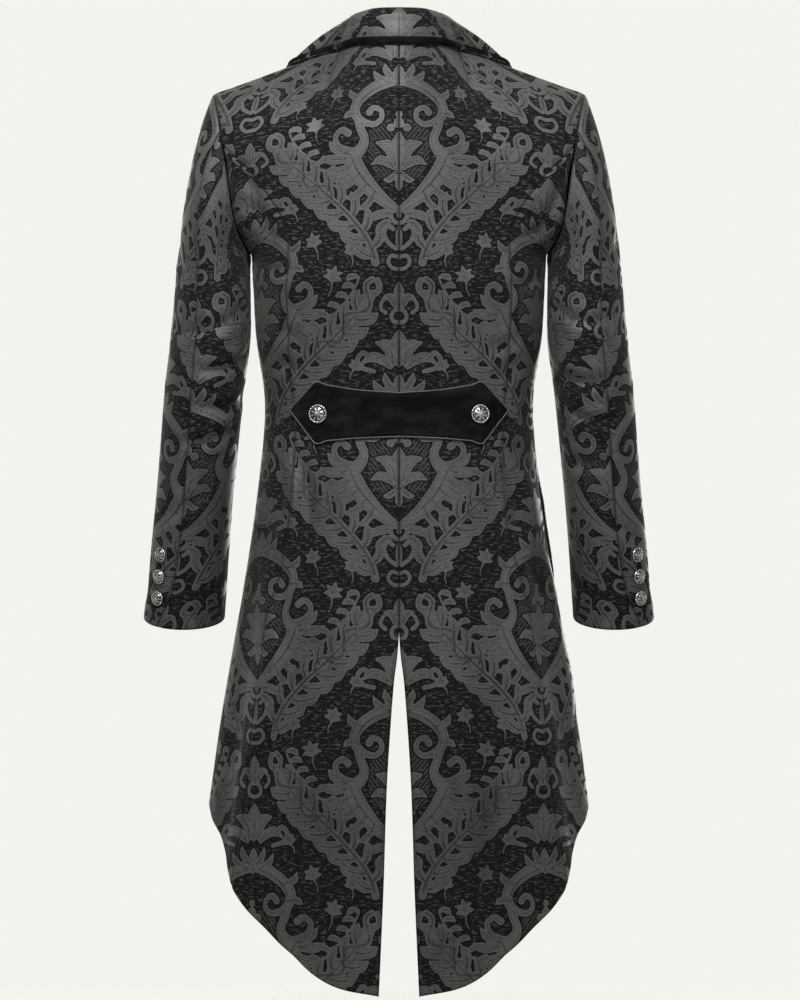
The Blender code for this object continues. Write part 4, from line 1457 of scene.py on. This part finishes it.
# How each panel is made, in the order of making.
BODY_PANELS = (
    # name, surface, shares across, highest level, spacing, seams, creases
    ("back", back_point, SHARES, 1.0, BACK_FINE, SEAMED_BOTH, BACK_CREASES),
    ("side", side_point, SIDE_SHARES, SEAM_TO_ARMHOLE, SIDE_FINE, SEAMED_BOTH, BACK_CREASES),
    ("front", front_point, FRONT_SHARES, 1.0, FRONT_FINE, SEAMED_LAST, FRONT_CREASES),
)
SLEEVE_PANELS = (
    # name, first seam, last seam, spacing, mirror line, whether its figure runs from its last seam
    ("top_sleeve", hind_seam, fore_seam, TOP_SLEEVE_FINE, SLEEVE_MIRROR, False),
    ("under_sleeve", fore_seam, hind_seam_again, UNDER_SLEEVE_FINE, 0.0, True),
)
SIDES = ((1, "left"), (-1, "right"))


def make_coat_cloth():
    """Backs, side bodies, fronts and sleeves, left and right; gives each one's worn grid and ways out."""
    made = {}
    for side, hand in SIDES:
        for make_panel, rows in ((body_panel, BODY_PANELS), (sleeve_panel, SLEEVE_PANELS)):
            for kind, *how in rows:
                made[f"{kind}_{hand}"] = make_panel(f"{kind}_{hand}", side, *how)
    return made


LAPEL_LEVELS = [("body", height) for height in (-298, -291, -284, -277)]
LAPEL_LEVELS += [("yoke", i / 40 * LAPEL_TOP) for i in range(41)]
LAPEL_SHARES = [i / 16 for i in range(17)]

# Extra thickness and its width at the roll and at the edge, how soon the underside leaves the front, and
# where the figure starts.
LAPEL_ROLL = (1.6, 9.0)
LAPEL_EDGE = (-0.7, 1.2)
LAPEL_HOLLOW = 3.0
LAPEL_FIGURE = (30, -300)


def make_lapel(side, hand):
    """The turned-back chest edge, lying on its front and touching it at the roll."""
    rough = [[lapel_point(share, level) for share in LAPEL_SHARES] for level in LAPEL_LEVELS]
    if side > 0:
        rough = [[lap(point) for point in row] for row in rough]
    ways = [[outward(point) for point in row] for row in rough]
    packed = np.concatenate([places(rough), places(ways)], axis=2)
    across, down = laid_out(packed[..., :3])
    packed = respaced(packed, int(across[:, -1].max() / SMALL_FINE), int(down[-1].max() / SMALL_FINE))
    across, down = laid_out(packed[..., :3])
    grid, way = packed[..., :3] * (side, 1, 1), packed[..., 3:] * (side, 1, 1)
    edge = np.minimum(across[:, -1:] - across, down[-1:] - down)
    top = LAPEL_LIFT + LAPEL_CLOTH + LAPEL_ROLL[0] * bell(across, LAPEL_ROLL[1])
    outside = grid + way * (top + LAPEL_EDGE[0] * bell(edge, LAPEL_EDGE[1]))[..., None]
    inside = grid + way * (LAPEL_LIFT * (1 - bell(across, LAPEL_HOLLOW)))[..., None]
    laid = LAPEL_FIGURE[0] + across, LAPEL_FIGURE[1] + down
    piece = closed_cloth(f"cloth_lapel_{hand}", outside, inside, damask, woven_numbers(*laid), laid)
    sewn(piece, f"lapel_{hand}", "damask", *cut_size(grid, *laid))
    return outside, way


COLLAR_STATIONS = [i / 32 for i in range(33)]
COLLAR_COLUMNS = 46
COLLAR_CREST_COLUMN = 15
BAND_STEPS = 257
BAND_COLUMNS = 9

# Thickness of the band at its edges and what its middle adds; a sheet is at least a centimetre wide.
BAND_CROWN = (0.35, 1.0)
NARROWEST_SHEET = 0.0102


def sections_both_ways(section):
    """Outer and inner points over all sections of a piece that crosses the centre back, side by side."""
    half = [section(station) for station in COLLAR_STATIONS]
    grids = [places(pair[leaf] for pair in half) for leaf in (0, 1)]
    return np.concatenate([np.concatenate([grid[:0:-1] * (-1, 1, 1), grid]) for grid in grids], axis=2)


def make_collar():
    """The turned-down collar, and the velvet band along its free edge."""
    packed = respaced(sections_both_ways(collar_section), COLLAR_COLUMNS, 2 * COLLAR_HALF + 1)
    outer, inner = packed[..., :3], packed[..., 3:]
    across, down = laid_out(outer)
    laid = down - down[COLLAR_HALF], COLLAR_UP - across + across[:, [COLLAR_CREST_COLUMN]]
    piece = closed_cloth("cloth_collar", outer, inner, damask, woven_numbers(*laid), laid)
    sewn(piece, "collar", "damask", *cut_size(outer, across, down))
    packed = sections_both_ways(band_section)
    packed = through(packed, np.arange(float(len(packed))), np.linspace(0, len(packed) - 1, BAND_STEPS))
    shares = np.linspace(0, 1, BAND_COLUMNS)[None, :, None]
    rows = packed[:, :1] * (1 - shares) + packed[:, 1:] * shares
    high, low = rows[..., :3], rows[..., 3:]
    outside = low + (high - low) * (BAND_CROWN[0] + BAND_CROWN[1] * np.sin(np.pi * shares) ** 0.5)
    laid = laid_out(outside)
    (width, length), area = cut_size(outside, *laid)
    piece = closed_cloth("velvet_collar_band", outside, low, velvet, {}, laid)
    sewn(piece, "collar_band", "velvet", (max(width, NARROWEST_SHEET), length), area)


BELT_COLUMNS = 131
BELT_ROWS = 25
BELT_END_SLOPE = 0.8

# Drop and width of the belt's edge; rise, middle and width of the swell inside it.
BELT_EDGE = (1.3, 1.6)
BELT_CROWN = (0.5, 9, 7.0)
BELT_SEAT = 0.6
PIPING_LIFT = 0.3
PIPING_RADIUS = 0.85


def belt_borders(x):
    """Top and bottom of the belt at a half width, straight along its pointed ends."""
    if x <= BELT[3][0]:
        return track(BELT, 1, x), track(BELT, 2, x)
    share = (x - BELT[3][0]) / (BELT[4][0] - BELT[3][0])
    return (BELT[3][i] + (BELT[4][i] - BELT[3][i]) * share for i in (1, 2))


def belt_grid():
    """The half belt's face from point to point: places on the back, ways out, distances to its edge."""
    points, ways, edge = [], [], []
    last = BELT_ROWS - 1
    for i in range(BELT_COLUMNS):
        x = BELT[-1][0] * (2 * i / (BELT_COLUMNS - 1) - 1)
        top, bottom = belt_borders(abs(x))
        row = [back_at(x, top + (bottom - top) * j / last) for j in range(BELT_ROWS)]
        points.append(row)
        ways.append([outward(point) for point in row])
        edge.append([min(j, last - j) / last * (top - bottom) for j in range(BELT_ROWS)])
    return places(points), places(ways), np.array(edge)


def all_round(grid):
    """The points of a grid's border, once round."""
    return np.concatenate([grid[:, 0], grid[-1, 1:], grid[-2::-1, -1], grid[0, -2:0:-1]])


def make_half_belt():
    """Velvet belt across the waist, with a fine corded edge."""
    points, ways, edge = belt_grid()
    edge = np.minimum(edge, (BELT[-1][0] - np.abs(points[..., 0])) * BELT_END_SLOPE)
    crown, crown_place, crown_width = BELT_CROWN
    pad = BELT_LIFT + VELVET - BELT_EDGE[0] * bell(edge, BELT_EDGE[1])
    pad += crown * bell(edge - crown_place, crown_width)
    outside = points + ways * pad[..., None]
    inside = points + ways * (BELT_LIFT - BELT_SEAT)
    cord = all_round(outside) + all_round(ways) * PIPING_LIFT
    piping = threads("belt_piping", [cord], PIPING_RADIUS, 3, cord_cloth, closed=True)
    laid = laid_out(outside)
    piece = closed_cloth("velvet_half_belt", outside, inside, velvet, {}, laid)
    sewn(piece, "half_belt", "velvet", *cut_size(outside, *laid), with_pieces=[piping])
    return points, ways


def threads(name, runs, radius, roundness, material, closed=False):
    """A piece made of round threads, each through its own points."""
    line = bpy.data.curves.new(name, "CURVE")
    line.dimensions = "3D"
    line.bevel_depth = radius * MM
    line.bevel_resolution = roundness
    for points in runs:
        spline = line.splines.new("POLY")
        spline.points.add(len(points) - 1)
        spline.points.foreach_set("co", np.column_stack([points * MM, np.ones(len(points))]).ravel())
        spline.use_cyclic_u = closed
    line.materials.append(material)
    made = in_scene(name, line)
    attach(made, "root")
    return made


class Finish:
    """A material and the steps that make its colour, roughness and relief."""

    def __init__(self, name, **values):
        self.material = bpy.data.materials.new(name)
        self.material.use_nodes = True
        self.tree = self.material.node_tree
        self.shader = self.tree.nodes["Principled BSDF"]
        for socket, value in values.items():
            self.look(socket.replace("_", " "), value)

    def feed(self, socket, value):
        if isinstance(value, bpy.types.NodeSocket):
            self.tree.links.new(value, socket)
        else:
            socket.default_value = value

    def look(self, socket, value):
        self.feed(self.shader.inputs[socket], value)

    def step(self, kind, result, settings, **values):
        """One step of a finish: its kind, the result that is used, its settings and the values it is fed."""
        node = self.tree.nodes.new(f"ShaderNode{kind}")
        for setting, value in settings.items():
            setattr(node, setting, value)
        for socket, value in values.items():
            self.feed(node.inputs[socket.replace("_", " ")], value)
        return node.outputs[result]

    def number(self, name):
        """A number stored on the cloth's points."""
        return self.step("Attribute", "Fac", {"attribute_name": name})

    def laid_flat(self):
        """Places on the cloth as it was cut, in metres."""
        return self.step("UVMap", "UV", {"uv_map": "cloth"})

    def in_space(self):
        return self.step("TexCoord", "Object", {})

    def stretched(self, vector, scale, turn=0):
        rotation = (0.0, 0.0, math.radians(turn))
        return self.step("Mapping", "Vector", {}, Vector=vector, Scale=scale, Rotation=rotation)

    def noise(self, vector, scale, detail=2.0, roughness=0.5):
        values = {"Vector": vector, "Scale": scale, "Detail": detail, "Roughness": roughness}
        return self.step("TexNoise", "Fac", {}, **values)

    def stripes(self, vector, scale, direction="X", distortion=0.0):
        """Even stripes, about 0.314 metres over the scale apart."""
        values = {"Vector": vector, "Scale": scale, "Distortion": distortion, "Detail": 1.0}
        return self.step("TexWave", "Fac", {"bands_direction": direction}, **values)

    def sum(self, operation, *values):
        node = self.tree.nodes.new("ShaderNodeMath")
        node.operation = operation
        for socket, value in zip(node.inputs, values):
            self.feed(socket, value)
        return node.outputs[0]

    def times(self, first, *others):
        for other in others:
            first = self.sum("MULTIPLY", first, other)
        return first

    def between(self, value, low, high, start=0.0, end=1.0):
        """A value's smooth run from a low to a high mark, as a run from start to end."""
        settings = {"interpolation_type": "SMOOTHSTEP"}
        marks = {"From_Min": low, "From_Max": high, "To_Min": start, "To_Max": end}
        return self.step("MapRange", "Result", settings, Value=value, **marks)

    def blended(self, share, first, second):
        """One colour going over into another."""
        return self.step("Mix", "Result", {"data_type": "RGBA"}, Factor=share, A=first, B=second)

    def relief(self, height, distance, strength):
        bump = self.step("Bump", "Normal", {}, Distance=distance, Strength=strength, Height=height)
        self.look("Normal", bump)


def grey(level, warmth=0.0):
    return (level * (1 + warmth), level, level * (1 - warmth), 1.0)


FIGURE_LIGHT = 0.031
GROUND_LIGHT = 0.030
DEEP_GROUND = 0.0022
BLACK = 0.0015


def damask_cloth():
    """Satin figure in grey, outlined in black, on a black ribbed and flecked ground, with painted shade along
    seams and free edges.
    """
    cloth = Finish("damask", Sheen_Weight=0.035, Sheen_Roughness=0.45)
    flat = cloth.laid_flat()
    stepped = cloth.noise(cloth.stretched(flat, (1.0, 1.6, 1.0)), 520.0, 1.0)
    jitter = cloth.between(stepped, 0.2, 0.8, -0.6, 0.6)
    edge = cloth.sum("ADD", cloth.number("figure"), jitter)
    figure = cloth.between(edge, -0.25, 0.3)
    outline = cloth.between(edge, -2.3, -1.2)
    inner_line = cloth.times(cloth.between(edge, 1.9, 2.5), cloth.between(edge, 3.7, 3.0))
    lines = cloth.between(cloth.sum("ADD", cloth.number("ribs"), jitter), -0.45, 0.05)
    hatch = cloth.between(cloth.stripes(cloth.stretched(flat, (1.0, 1.0, 1.0), 38), 74.0), 0.42, 0.62)
    hatched = cloth.times(cloth.between(cloth.number("field"), -0.2, 0.6), hatch)
    weft = cloth.stripes(flat, 150.0, "Y", 0.4)
    warp = cloth.stripes(flat, 330.0, "X", 0.2)
    fleck = cloth.noise(cloth.stretched(flat, (0.34, 1.0, 1.0)), 370.0, 3.0, 0.68)
    worn = cloth.noise(cloth.in_space(), 6.0, 4.0, 0.6)
    ground = cloth.times(cloth.between(fleck, 0.51, 0.64), cloth.between(weft, 0.0, 0.8, 0.3, 1.0))
    ground = cloth.blended(ground, grey(DEEP_GROUND), grey(GROUND_LIGHT))
    ground = cloth.blended(hatched, ground, grey(FIGURE_LIGHT / 2))
    ground = cloth.blended(cloth.times(outline, 0.94), ground, grey(BLACK))
    satin = cloth.times(
        figure,
        cloth.between(lines, 0.0, 1.0, 1.0, 0.12),
        cloth.between(warp, 0.0, 1.0, 0.8, 1.08),
        cloth.between(worn, 0.3, 0.7, 0.66, 1.22),
        cloth.between(fleck, 0.3, 0.7, 0.78, 1.14),
        cloth.between(inner_line, 0.0, 1.0, 1.0, 0.55),
    )
    woven = cloth.blended(satin, ground, grey(FIGURE_LIGHT, 0.01))
    # Painted shade: the seam number draws the colour toward black beside seams and free edges.
    cloth.look("Base Color", cloth.blended(cloth.times(cloth.number("seam"), 0.85), woven, grey(BLACK)))
    cloth.look("Roughness", cloth.between(figure, 0.0, 1.0, 0.85, 0.48))
    cloth.look("Specular IOR Level", cloth.between(figure, 0.0, 1.0, 0.04, 0.13))
    height = cloth.times(weft, 0.25)
    for part, share in ((figure, 0.55), (fleck, 0.3), (lines, -0.3)):
        height = cloth.sum("MULTIPLY_ADD", part, share, height)
    cloth.relief(height, 0.0005, 0.6)
    return cloth.material


def lining_cloth():
    """The wrong side: black twill."""
    cloth = Finish("lining", Sheen_Weight=0.03, Specular_IOR_Level=0.18)
    space = cloth.in_space()
    twill = cloth.stripes(cloth.stretched(space, (1.0, 0.4, 1.0)), 190.0, "DIAGONAL", 0.4)
    wear = cloth.noise(space, 9.0, 4.0)
    shade = cloth.times(cloth.between(twill, 0.0, 1.0, 0.5, 1.0), cloth.between(wear, 0.3, 0.7, 0.7, 1.0))
    cloth.look("Base Color", cloth.blended(shade, grey(0.004), grey(0.014)))
    cloth.look("Roughness", cloth.between(wear, 0.3, 0.7, 0.52, 0.68))
    cloth.relief(twill, 0.0003, 0.4)
    return cloth.material


def velvet_cloth():
    """Black velvet with a pile that lies a little this way and that."""
    cloth = Finish("velvet", Sheen_Weight=0.02, Sheen_Roughness=0.3, Specular_IOR_Level=0.02)
    space = cloth.in_space()
    pile = cloth.noise(space, 1500.0, 2.0)
    lie = cloth.noise(cloth.stretched(space, (1.0, 1.0, 1.8)), 34.0, 3.0)
    cloth.look("Base Color", cloth.blended(cloth.between(lie, 0.35, 0.7), grey(0.0012), grey(0.0040)))
    cloth.look("Roughness", cloth.between(lie, 0.3, 0.7, 0.78, 0.95))
    cloth.relief(cloth.sum("MULTIPLY_ADD", lie, 0.8, cloth.times(pile, 0.4)), 0.0006, 0.5)
    return cloth.material


def cord_finish(name, dark, light):
    """Twisted thread."""
    cloth = Finish(name, Sheen_Weight=0.04, Roughness=0.6, Specular_IOR_Level=0.15)
    space = cloth.in_space()
    twist = cloth.stripes(space, 210.0, "DIAGONAL", 0.6)
    shade = cloth.times(twist, cloth.between(cloth.noise(space, 40.0, 3.0), 0.3, 0.7, 0.6, 1.0))
    cloth.look("Base Color", cloth.blended(shade, grey(dark), grey(light)))
    cloth.relief(twist, 0.0004, 0.6)
    return cloth.material


def old_silver():
    """Antique silver, dark in its hollows and rubbed bright on its high places."""
    metal = Finish("old_silver", Metallic=1.0)
    space = metal.in_space()
    grain = metal.noise(space, 900.0, 3.0, 0.6)
    cloudy = metal.noise(space, 160.0, 3.0)
    hollow = metal.sum("ADD", metal.number("hollow"), metal.between(cloudy, 0.3, 0.7, -0.22, 0.22))
    dark = metal.between(hollow, 0.2, 0.75)
    metal.look("Base Color", metal.blended(dark, grey(0.26, 0.03), grey(0.008, 0.04)))
    rough = metal.between(dark, 0.0, 1.0, 0.26, 0.55)
    metal.look("Roughness", metal.sum("ADD", rough, metal.between(grain, 0.3, 0.7, -0.04, 0.08)))
    metal.relief(metal.sum("ADD", grain, metal.between(cloudy, 0.3, 0.7)), 0.0002, 0.35)
    return metal.material


PAPER_LIGHT = (0.52, 0.52, 0.4992, 1.0)
PAPER_SPECK = (0.5044, 0.5044, 0.4836, 1.0)


def floor_finish():
    """Pale paper that fades out away from the coat."""
    paper = Finish("pale_paper", Roughness=0.9, Specular_IOR_Level=0.1)
    space = paper.in_space()
    away = paper.tree.nodes.new("ShaderNodeVectorMath")
    away.operation = "LENGTH"
    paper.feed(away.inputs[0], space)
    speck = paper.between(paper.noise(space, 30.0, 3.0), 0.3, 0.7)
    paper.look("Base Color", paper.blended(speck, PAPER_LIGHT, PAPER_SPECK))
    paper.look("Alpha", paper.between(away.outputs["Value"], 0.45, 1.6, 1.0, 0.0))
    return paper.material


# The relief of a button's face: where each ring of petals lies, how wide it is, how high, and its turn.
PETALS = 8
PETAL_RINGS = (
    # middle_share, width_share, height, half_turns
    (0.50, 0.16, 0.34, 0),
    (0.27, 0.10, 0.26, 1),
)
BUTTON_STEPS = 48
BUTTON_ROWS = 18

# A button's back and rim, from the middle of the back to the inside of the rim, in shares of its size.
BUTTON_BACK = (
    (0.0, 0.0),
    (0.9, 0.0),
    (0.96, 0.05),
    (1.0, 0.16),
    (1.0, 0.26),
    (0.98, 0.35),
    (0.95, 0.40),
    (0.86, 0.40),
)
RIM_HEIGHT = 0.4
RIM_DIP = (0.08, 0.05)
DOME_END = 0.8
DOME_RISE = 0.6
DOME_FULLNESS = 1.3
FACE_START = 0.82
RIM_START = 0.83

# Height and width of the knob; depth, middle and width of the moat; depth and width of a petal's cuts.
KNOB = (0.42, 0.10)
MOAT = (0.25, 0.79, 0.03)
PETAL_CUT = (0.3, 0.22)
RELIEF_DIAMETER = 22.9

# How hollow, and so how dark, the rim, the plain face, a bead's top and its foot are.
RIM_HOLLOW = 0.15
FACE_HOLLOW = 0.42
BEAD_HOLLOW = (0.1, 0.8)
BEAD_MIDDLE = 0.42
BUTTON_BEADS = 20
BEAD_SIZE = 0.085
BEAD_PLACE = (0.905, 0.41)


def button_height(share, height):
    """Height of a button's face at a share of its radius: a dome inside a raised rim."""
    if share < DOME_END:
        dome = math.sqrt(max(1 - (share / DOME_END) ** 2, 0.0)) ** DOME_FULLNESS
        return height * (RIM_HEIGHT + DOME_RISE * dome)
    dip, width = RIM_DIP
    return height * (RIM_HEIGHT - dip * math.sin(math.pi * min((share - DOME_END) / width, 1.0)))


def rosette(share, turn):
    """Relief of the plain rosette on a button, for a button of the belt's size."""
    rise = KNOB[0] * bell(share, KNOB[1]) - MOAT[0] * bell(share - MOAT[1], MOAT[2])
    for middle, width, high, half_turns in PETAL_RINGS:
        phase = PETALS * turn + math.pi * half_turns
        cut = PETAL_CUT[0] * bell(math.sin(phase / 2), PETAL_CUT[1])
        rise += high * bell(share - middle, width) * (math.cos(phase) - cut)
    return float(rise)


def make_button(node, size, seat, way, side):
    """A domed button with a plain rosette, a beaded rim and a turned back."""
    diameter, height, lift = size
    radius = diameter / 2
    shell = bmesh.new()
    profile = [(share, height * rise) for share, rise in BUTTON_BACK]
    for i in range(BUTTON_ROWS + 1):
        share = FACE_START * (1 - i / BUTTON_ROWS)
        profile.append((share, button_height(share, height)))
    line = [shell.verts.new((radius * share, 0.0, rise)) for share, rise in profile]
    edges = [shell.edges.new(pair) for pair in zip(line, line[1:])]
    once_round = {"axis": (0, 0, 1), "angle": 2 * math.pi, "steps": BUTTON_STEPS, "use_merge": True}
    bmesh.ops.spin(shell, geom=line + edges, cent=(0, 0, 0), **once_round)
    bmesh.ops.remove_doubles(shell, verts=shell.verts, dist=0.001)
    hollow = shell.verts.layers.float.new("hollow")
    for vert in shell.verts:
        share = math.hypot(vert.co.x, vert.co.y) / radius
        vert[hollow] = RIM_HOLLOW
        if vert.co.z >= 0.3 * height and share <= RIM_START:
            rise = rosette(share, math.atan2(vert.co.y, vert.co.x))
            vert.co.z += rise * diameter / RELIEF_DIAMETER
            vert[hollow] = min(max(FACE_HOLLOW - 2 * rise, 0.0), 1.0)
    for i in range(BUTTON_BEADS):
        turn = 2 * math.pi * i / BUTTON_BEADS
        away, up = BEAD_PLACE[0] * radius, BEAD_PLACE[1] * height
        place = Matrix.Translation((away * math.cos(turn), away * math.sin(turn), up))
        bead = bmesh.ops.create_icosphere(shell, subdivisions=2, radius=radius * BEAD_SIZE, matrix=place)
        for vert in bead["verts"]:
            vert[hollow] = BEAD_HOLLOW[0] if vert.co.z > BEAD_MIDDLE * height else BEAD_HOLLOW[1]
    bmesh.ops.recalc_face_normals(shell, faces=shell.faces)
    turned = Vector((0, 0, 1)).rotation_difference(way).to_matrix().to_4x4()
    bmesh.ops.transform(shell, matrix=Matrix.Translation(seat + way * lift) @ turned, verts=shell.verts)
    bmesh.ops.scale(shell, vec=(side * MM, MM, MM), verts=shell.verts)
    if side < 0:
        bmesh.ops.reverse_faces(shell, faces=shell.faces)
    mesh = bpy.data.meshes.new(f"silver_{node}")
    shell.to_mesh(mesh)
    shell.free()
    mesh.shade_smooth()
    mesh.materials.append(silver)
    part_of_coat(in_scene(f"silver_{node}", mesh), node)


def make_buttons():
    """Two on the belt, three on each cuff, three down the front."""
    for side, hand in SIDES:
        point = back_at(*BELT_BUTTON_PLACE)
        way = outward(point)
        make_button(f"belt_button_{hand}", BELT_BUTTON, point + way * (BELT_LIFT + VELVET), way, side)
        for number, (height, turn) in enumerate(CUFF_BUTTON_PLACES, 1):
            bottom = CUFF_HEIGHT - CUFF_SLANT * math.cos(math.radians(turn))
            along = 1 + (height - SLEEVE_HEAD_END) / (bottom - SLEEVE_HEAD_END)
            way = sleeve_outward(turn, along)
            make_button(f"cuff_button_{hand}_{number}", CUFF_BUTTON, sleeve_point(turn, along), way, side)
    for number, height in enumerate(FRONT_BUTTON_HEIGHTS, 1):
        point = lap(ring(180, height))
        make_button(f"front_button_{number}", FRONT_BUTTON, point, outward(point), 1)


STITCH_PITCH = 3.1
STITCH_LENGTH = 2.2
STITCH_RADIUS = 0.3
STITCH_START = 0.4

# How far a stitch stands off its line at its start, middle and end.
STITCH_DIP = (-0.25, 0.2, -0.25)
STITCH_LIFT = 0.1


def stitches(name, points, ways):
    """Topstitching along points: short threads that dip into the cloth at their ends."""
    steps = np.concatenate([[0.0], np.cumsum(np.linalg.norm(np.diff(points, axis=0), axis=1))])
    runs = []
    for i in range(int(steps[-1] / STITCH_PITCH)):
        at = np.array((0.0, 0.5, 1.0)) * STITCH_LENGTH + i * STITCH_PITCH + STITCH_START
        dip = through(ways, steps, at) * np.array(STITCH_DIP)[:, None]
        runs.append(through(points, steps, at) + dip)
    threads(f"stitches_{name}", runs, STITCH_RADIUS, 1, thread)


# Which panel edges are topstitched: stitches, panel, column of its grid, first and last share of its length.
STITCHED_EDGES = (
    ("vent", "back", 3, 0.63, 1.0),
    ("front", "front", 2, 0.32, 1.0),
    ("cuff", "top_sleeve", 2, 0.84, 1.0),
    ("lapel", "lapel", -4, 0.03, 0.99),
)
BELT_INSET = (6, 2)


def sew_stitches(panels, belt):
    """Topstitching along the free edges, the vent, the cuffs' openings and the belt."""
    for _, hand in SIDES:
        for name, panel, column, start, end in STITCHED_EDGES:
            line, ways = (grid[:, column] for grid in panels[f"{panel}_{hand}"])
            last = len(line) - 1
            chosen = slice(int(start * last), int(end * last) + 1)
            stitches(f"{name}_{hand}", line[chosen] + ways[chosen] * STITCH_LIFT, ways[chosen])
    points, ways = belt
    side, top = BELT_INSET

    def inset_line(grid):
        there, back = grid[side:-side, top], grid[-side:side - 1:-1, -top - 1]
        return np.concatenate([there, back, there[:1]])

    stitches("belt", inset_line(points + ways * (BELT_LIFT + VELVET)), inset_line(ways))


FLOOR_HEIGHT = -1165.0
FLOOR_SIZE = 3.0
WORLD_COLOUR = (0.896, 0.896, 0.847, 1.0)
LAMPS = (
    # name, place, size, watts
    ("key_lamp", (0.25, 1.2, 0.9), (0.9, 0.6), 84.0),
    ("side_lamp", (-1.0, 2.3, 0.3), (0.7, 0.9), 20.0),
    ("front_lamp", (0.3, -2.6, 0.2), (1.2, 1.2), 50.0),
    ("low_lamp", (-0.8, -2.2, -0.6), (1.0, 1.0), 22.0),
)


def make_stage():
    """A plain pale floor under the tails and soft light all round."""
    shell = bmesh.new()
    bmesh.ops.create_grid(shell, x_segments=1, y_segments=1, size=FLOOR_SIZE)
    bmesh.ops.translate(shell, verts=shell.verts, vec=(0, 0, FLOOR_HEIGHT * MM))
    mesh = bpy.data.meshes.new("floor")
    shell.to_mesh(mesh)
    shell.free()
    mesh.materials.append(floor_finish())
    in_scene("floor", mesh)
    world = bpy.data.worlds.new("studio")
    world.use_nodes = True
    world.node_tree.nodes["Background"].inputs["Color"].default_value = WORLD_COLOUR
    bpy.context.scene.world = world
    bpy.context.scene.view_settings.view_transform = "Standard"
    for name, place, size, watts in LAMPS:
        lamp = bpy.data.lights.new(name, "AREA")
        lamp.shape = "RECTANGLE"
        lamp.size, lamp.size_y = size
        lamp.energy = watts
        made = in_scene(name, lamp)
        made.location = place
        aim = Vector((0, 0, 0.5 * COAT_MIDDLE * MM)) - Vector(place)
        made.rotation_euler = aim.to_track_quat("-Z", "Y").to_euler()


damask = damask_cloth()
lining = lining_cloth()
velvet = velvet_cloth()
cord_cloth = cord_finish("corded_edge", 0.012, 0.06)
thread = cord_finish("thread", 0.004, 0.018)
silver = old_silver()
panels = make_coat_cloth()
for side, hand in SIDES:
    panels[f"lapel_{hand}"] = make_lapel(side, hand)
make_collar()
belt = make_half_belt()
make_buttons()
sew_stitches(panels, belt)
make_stage()
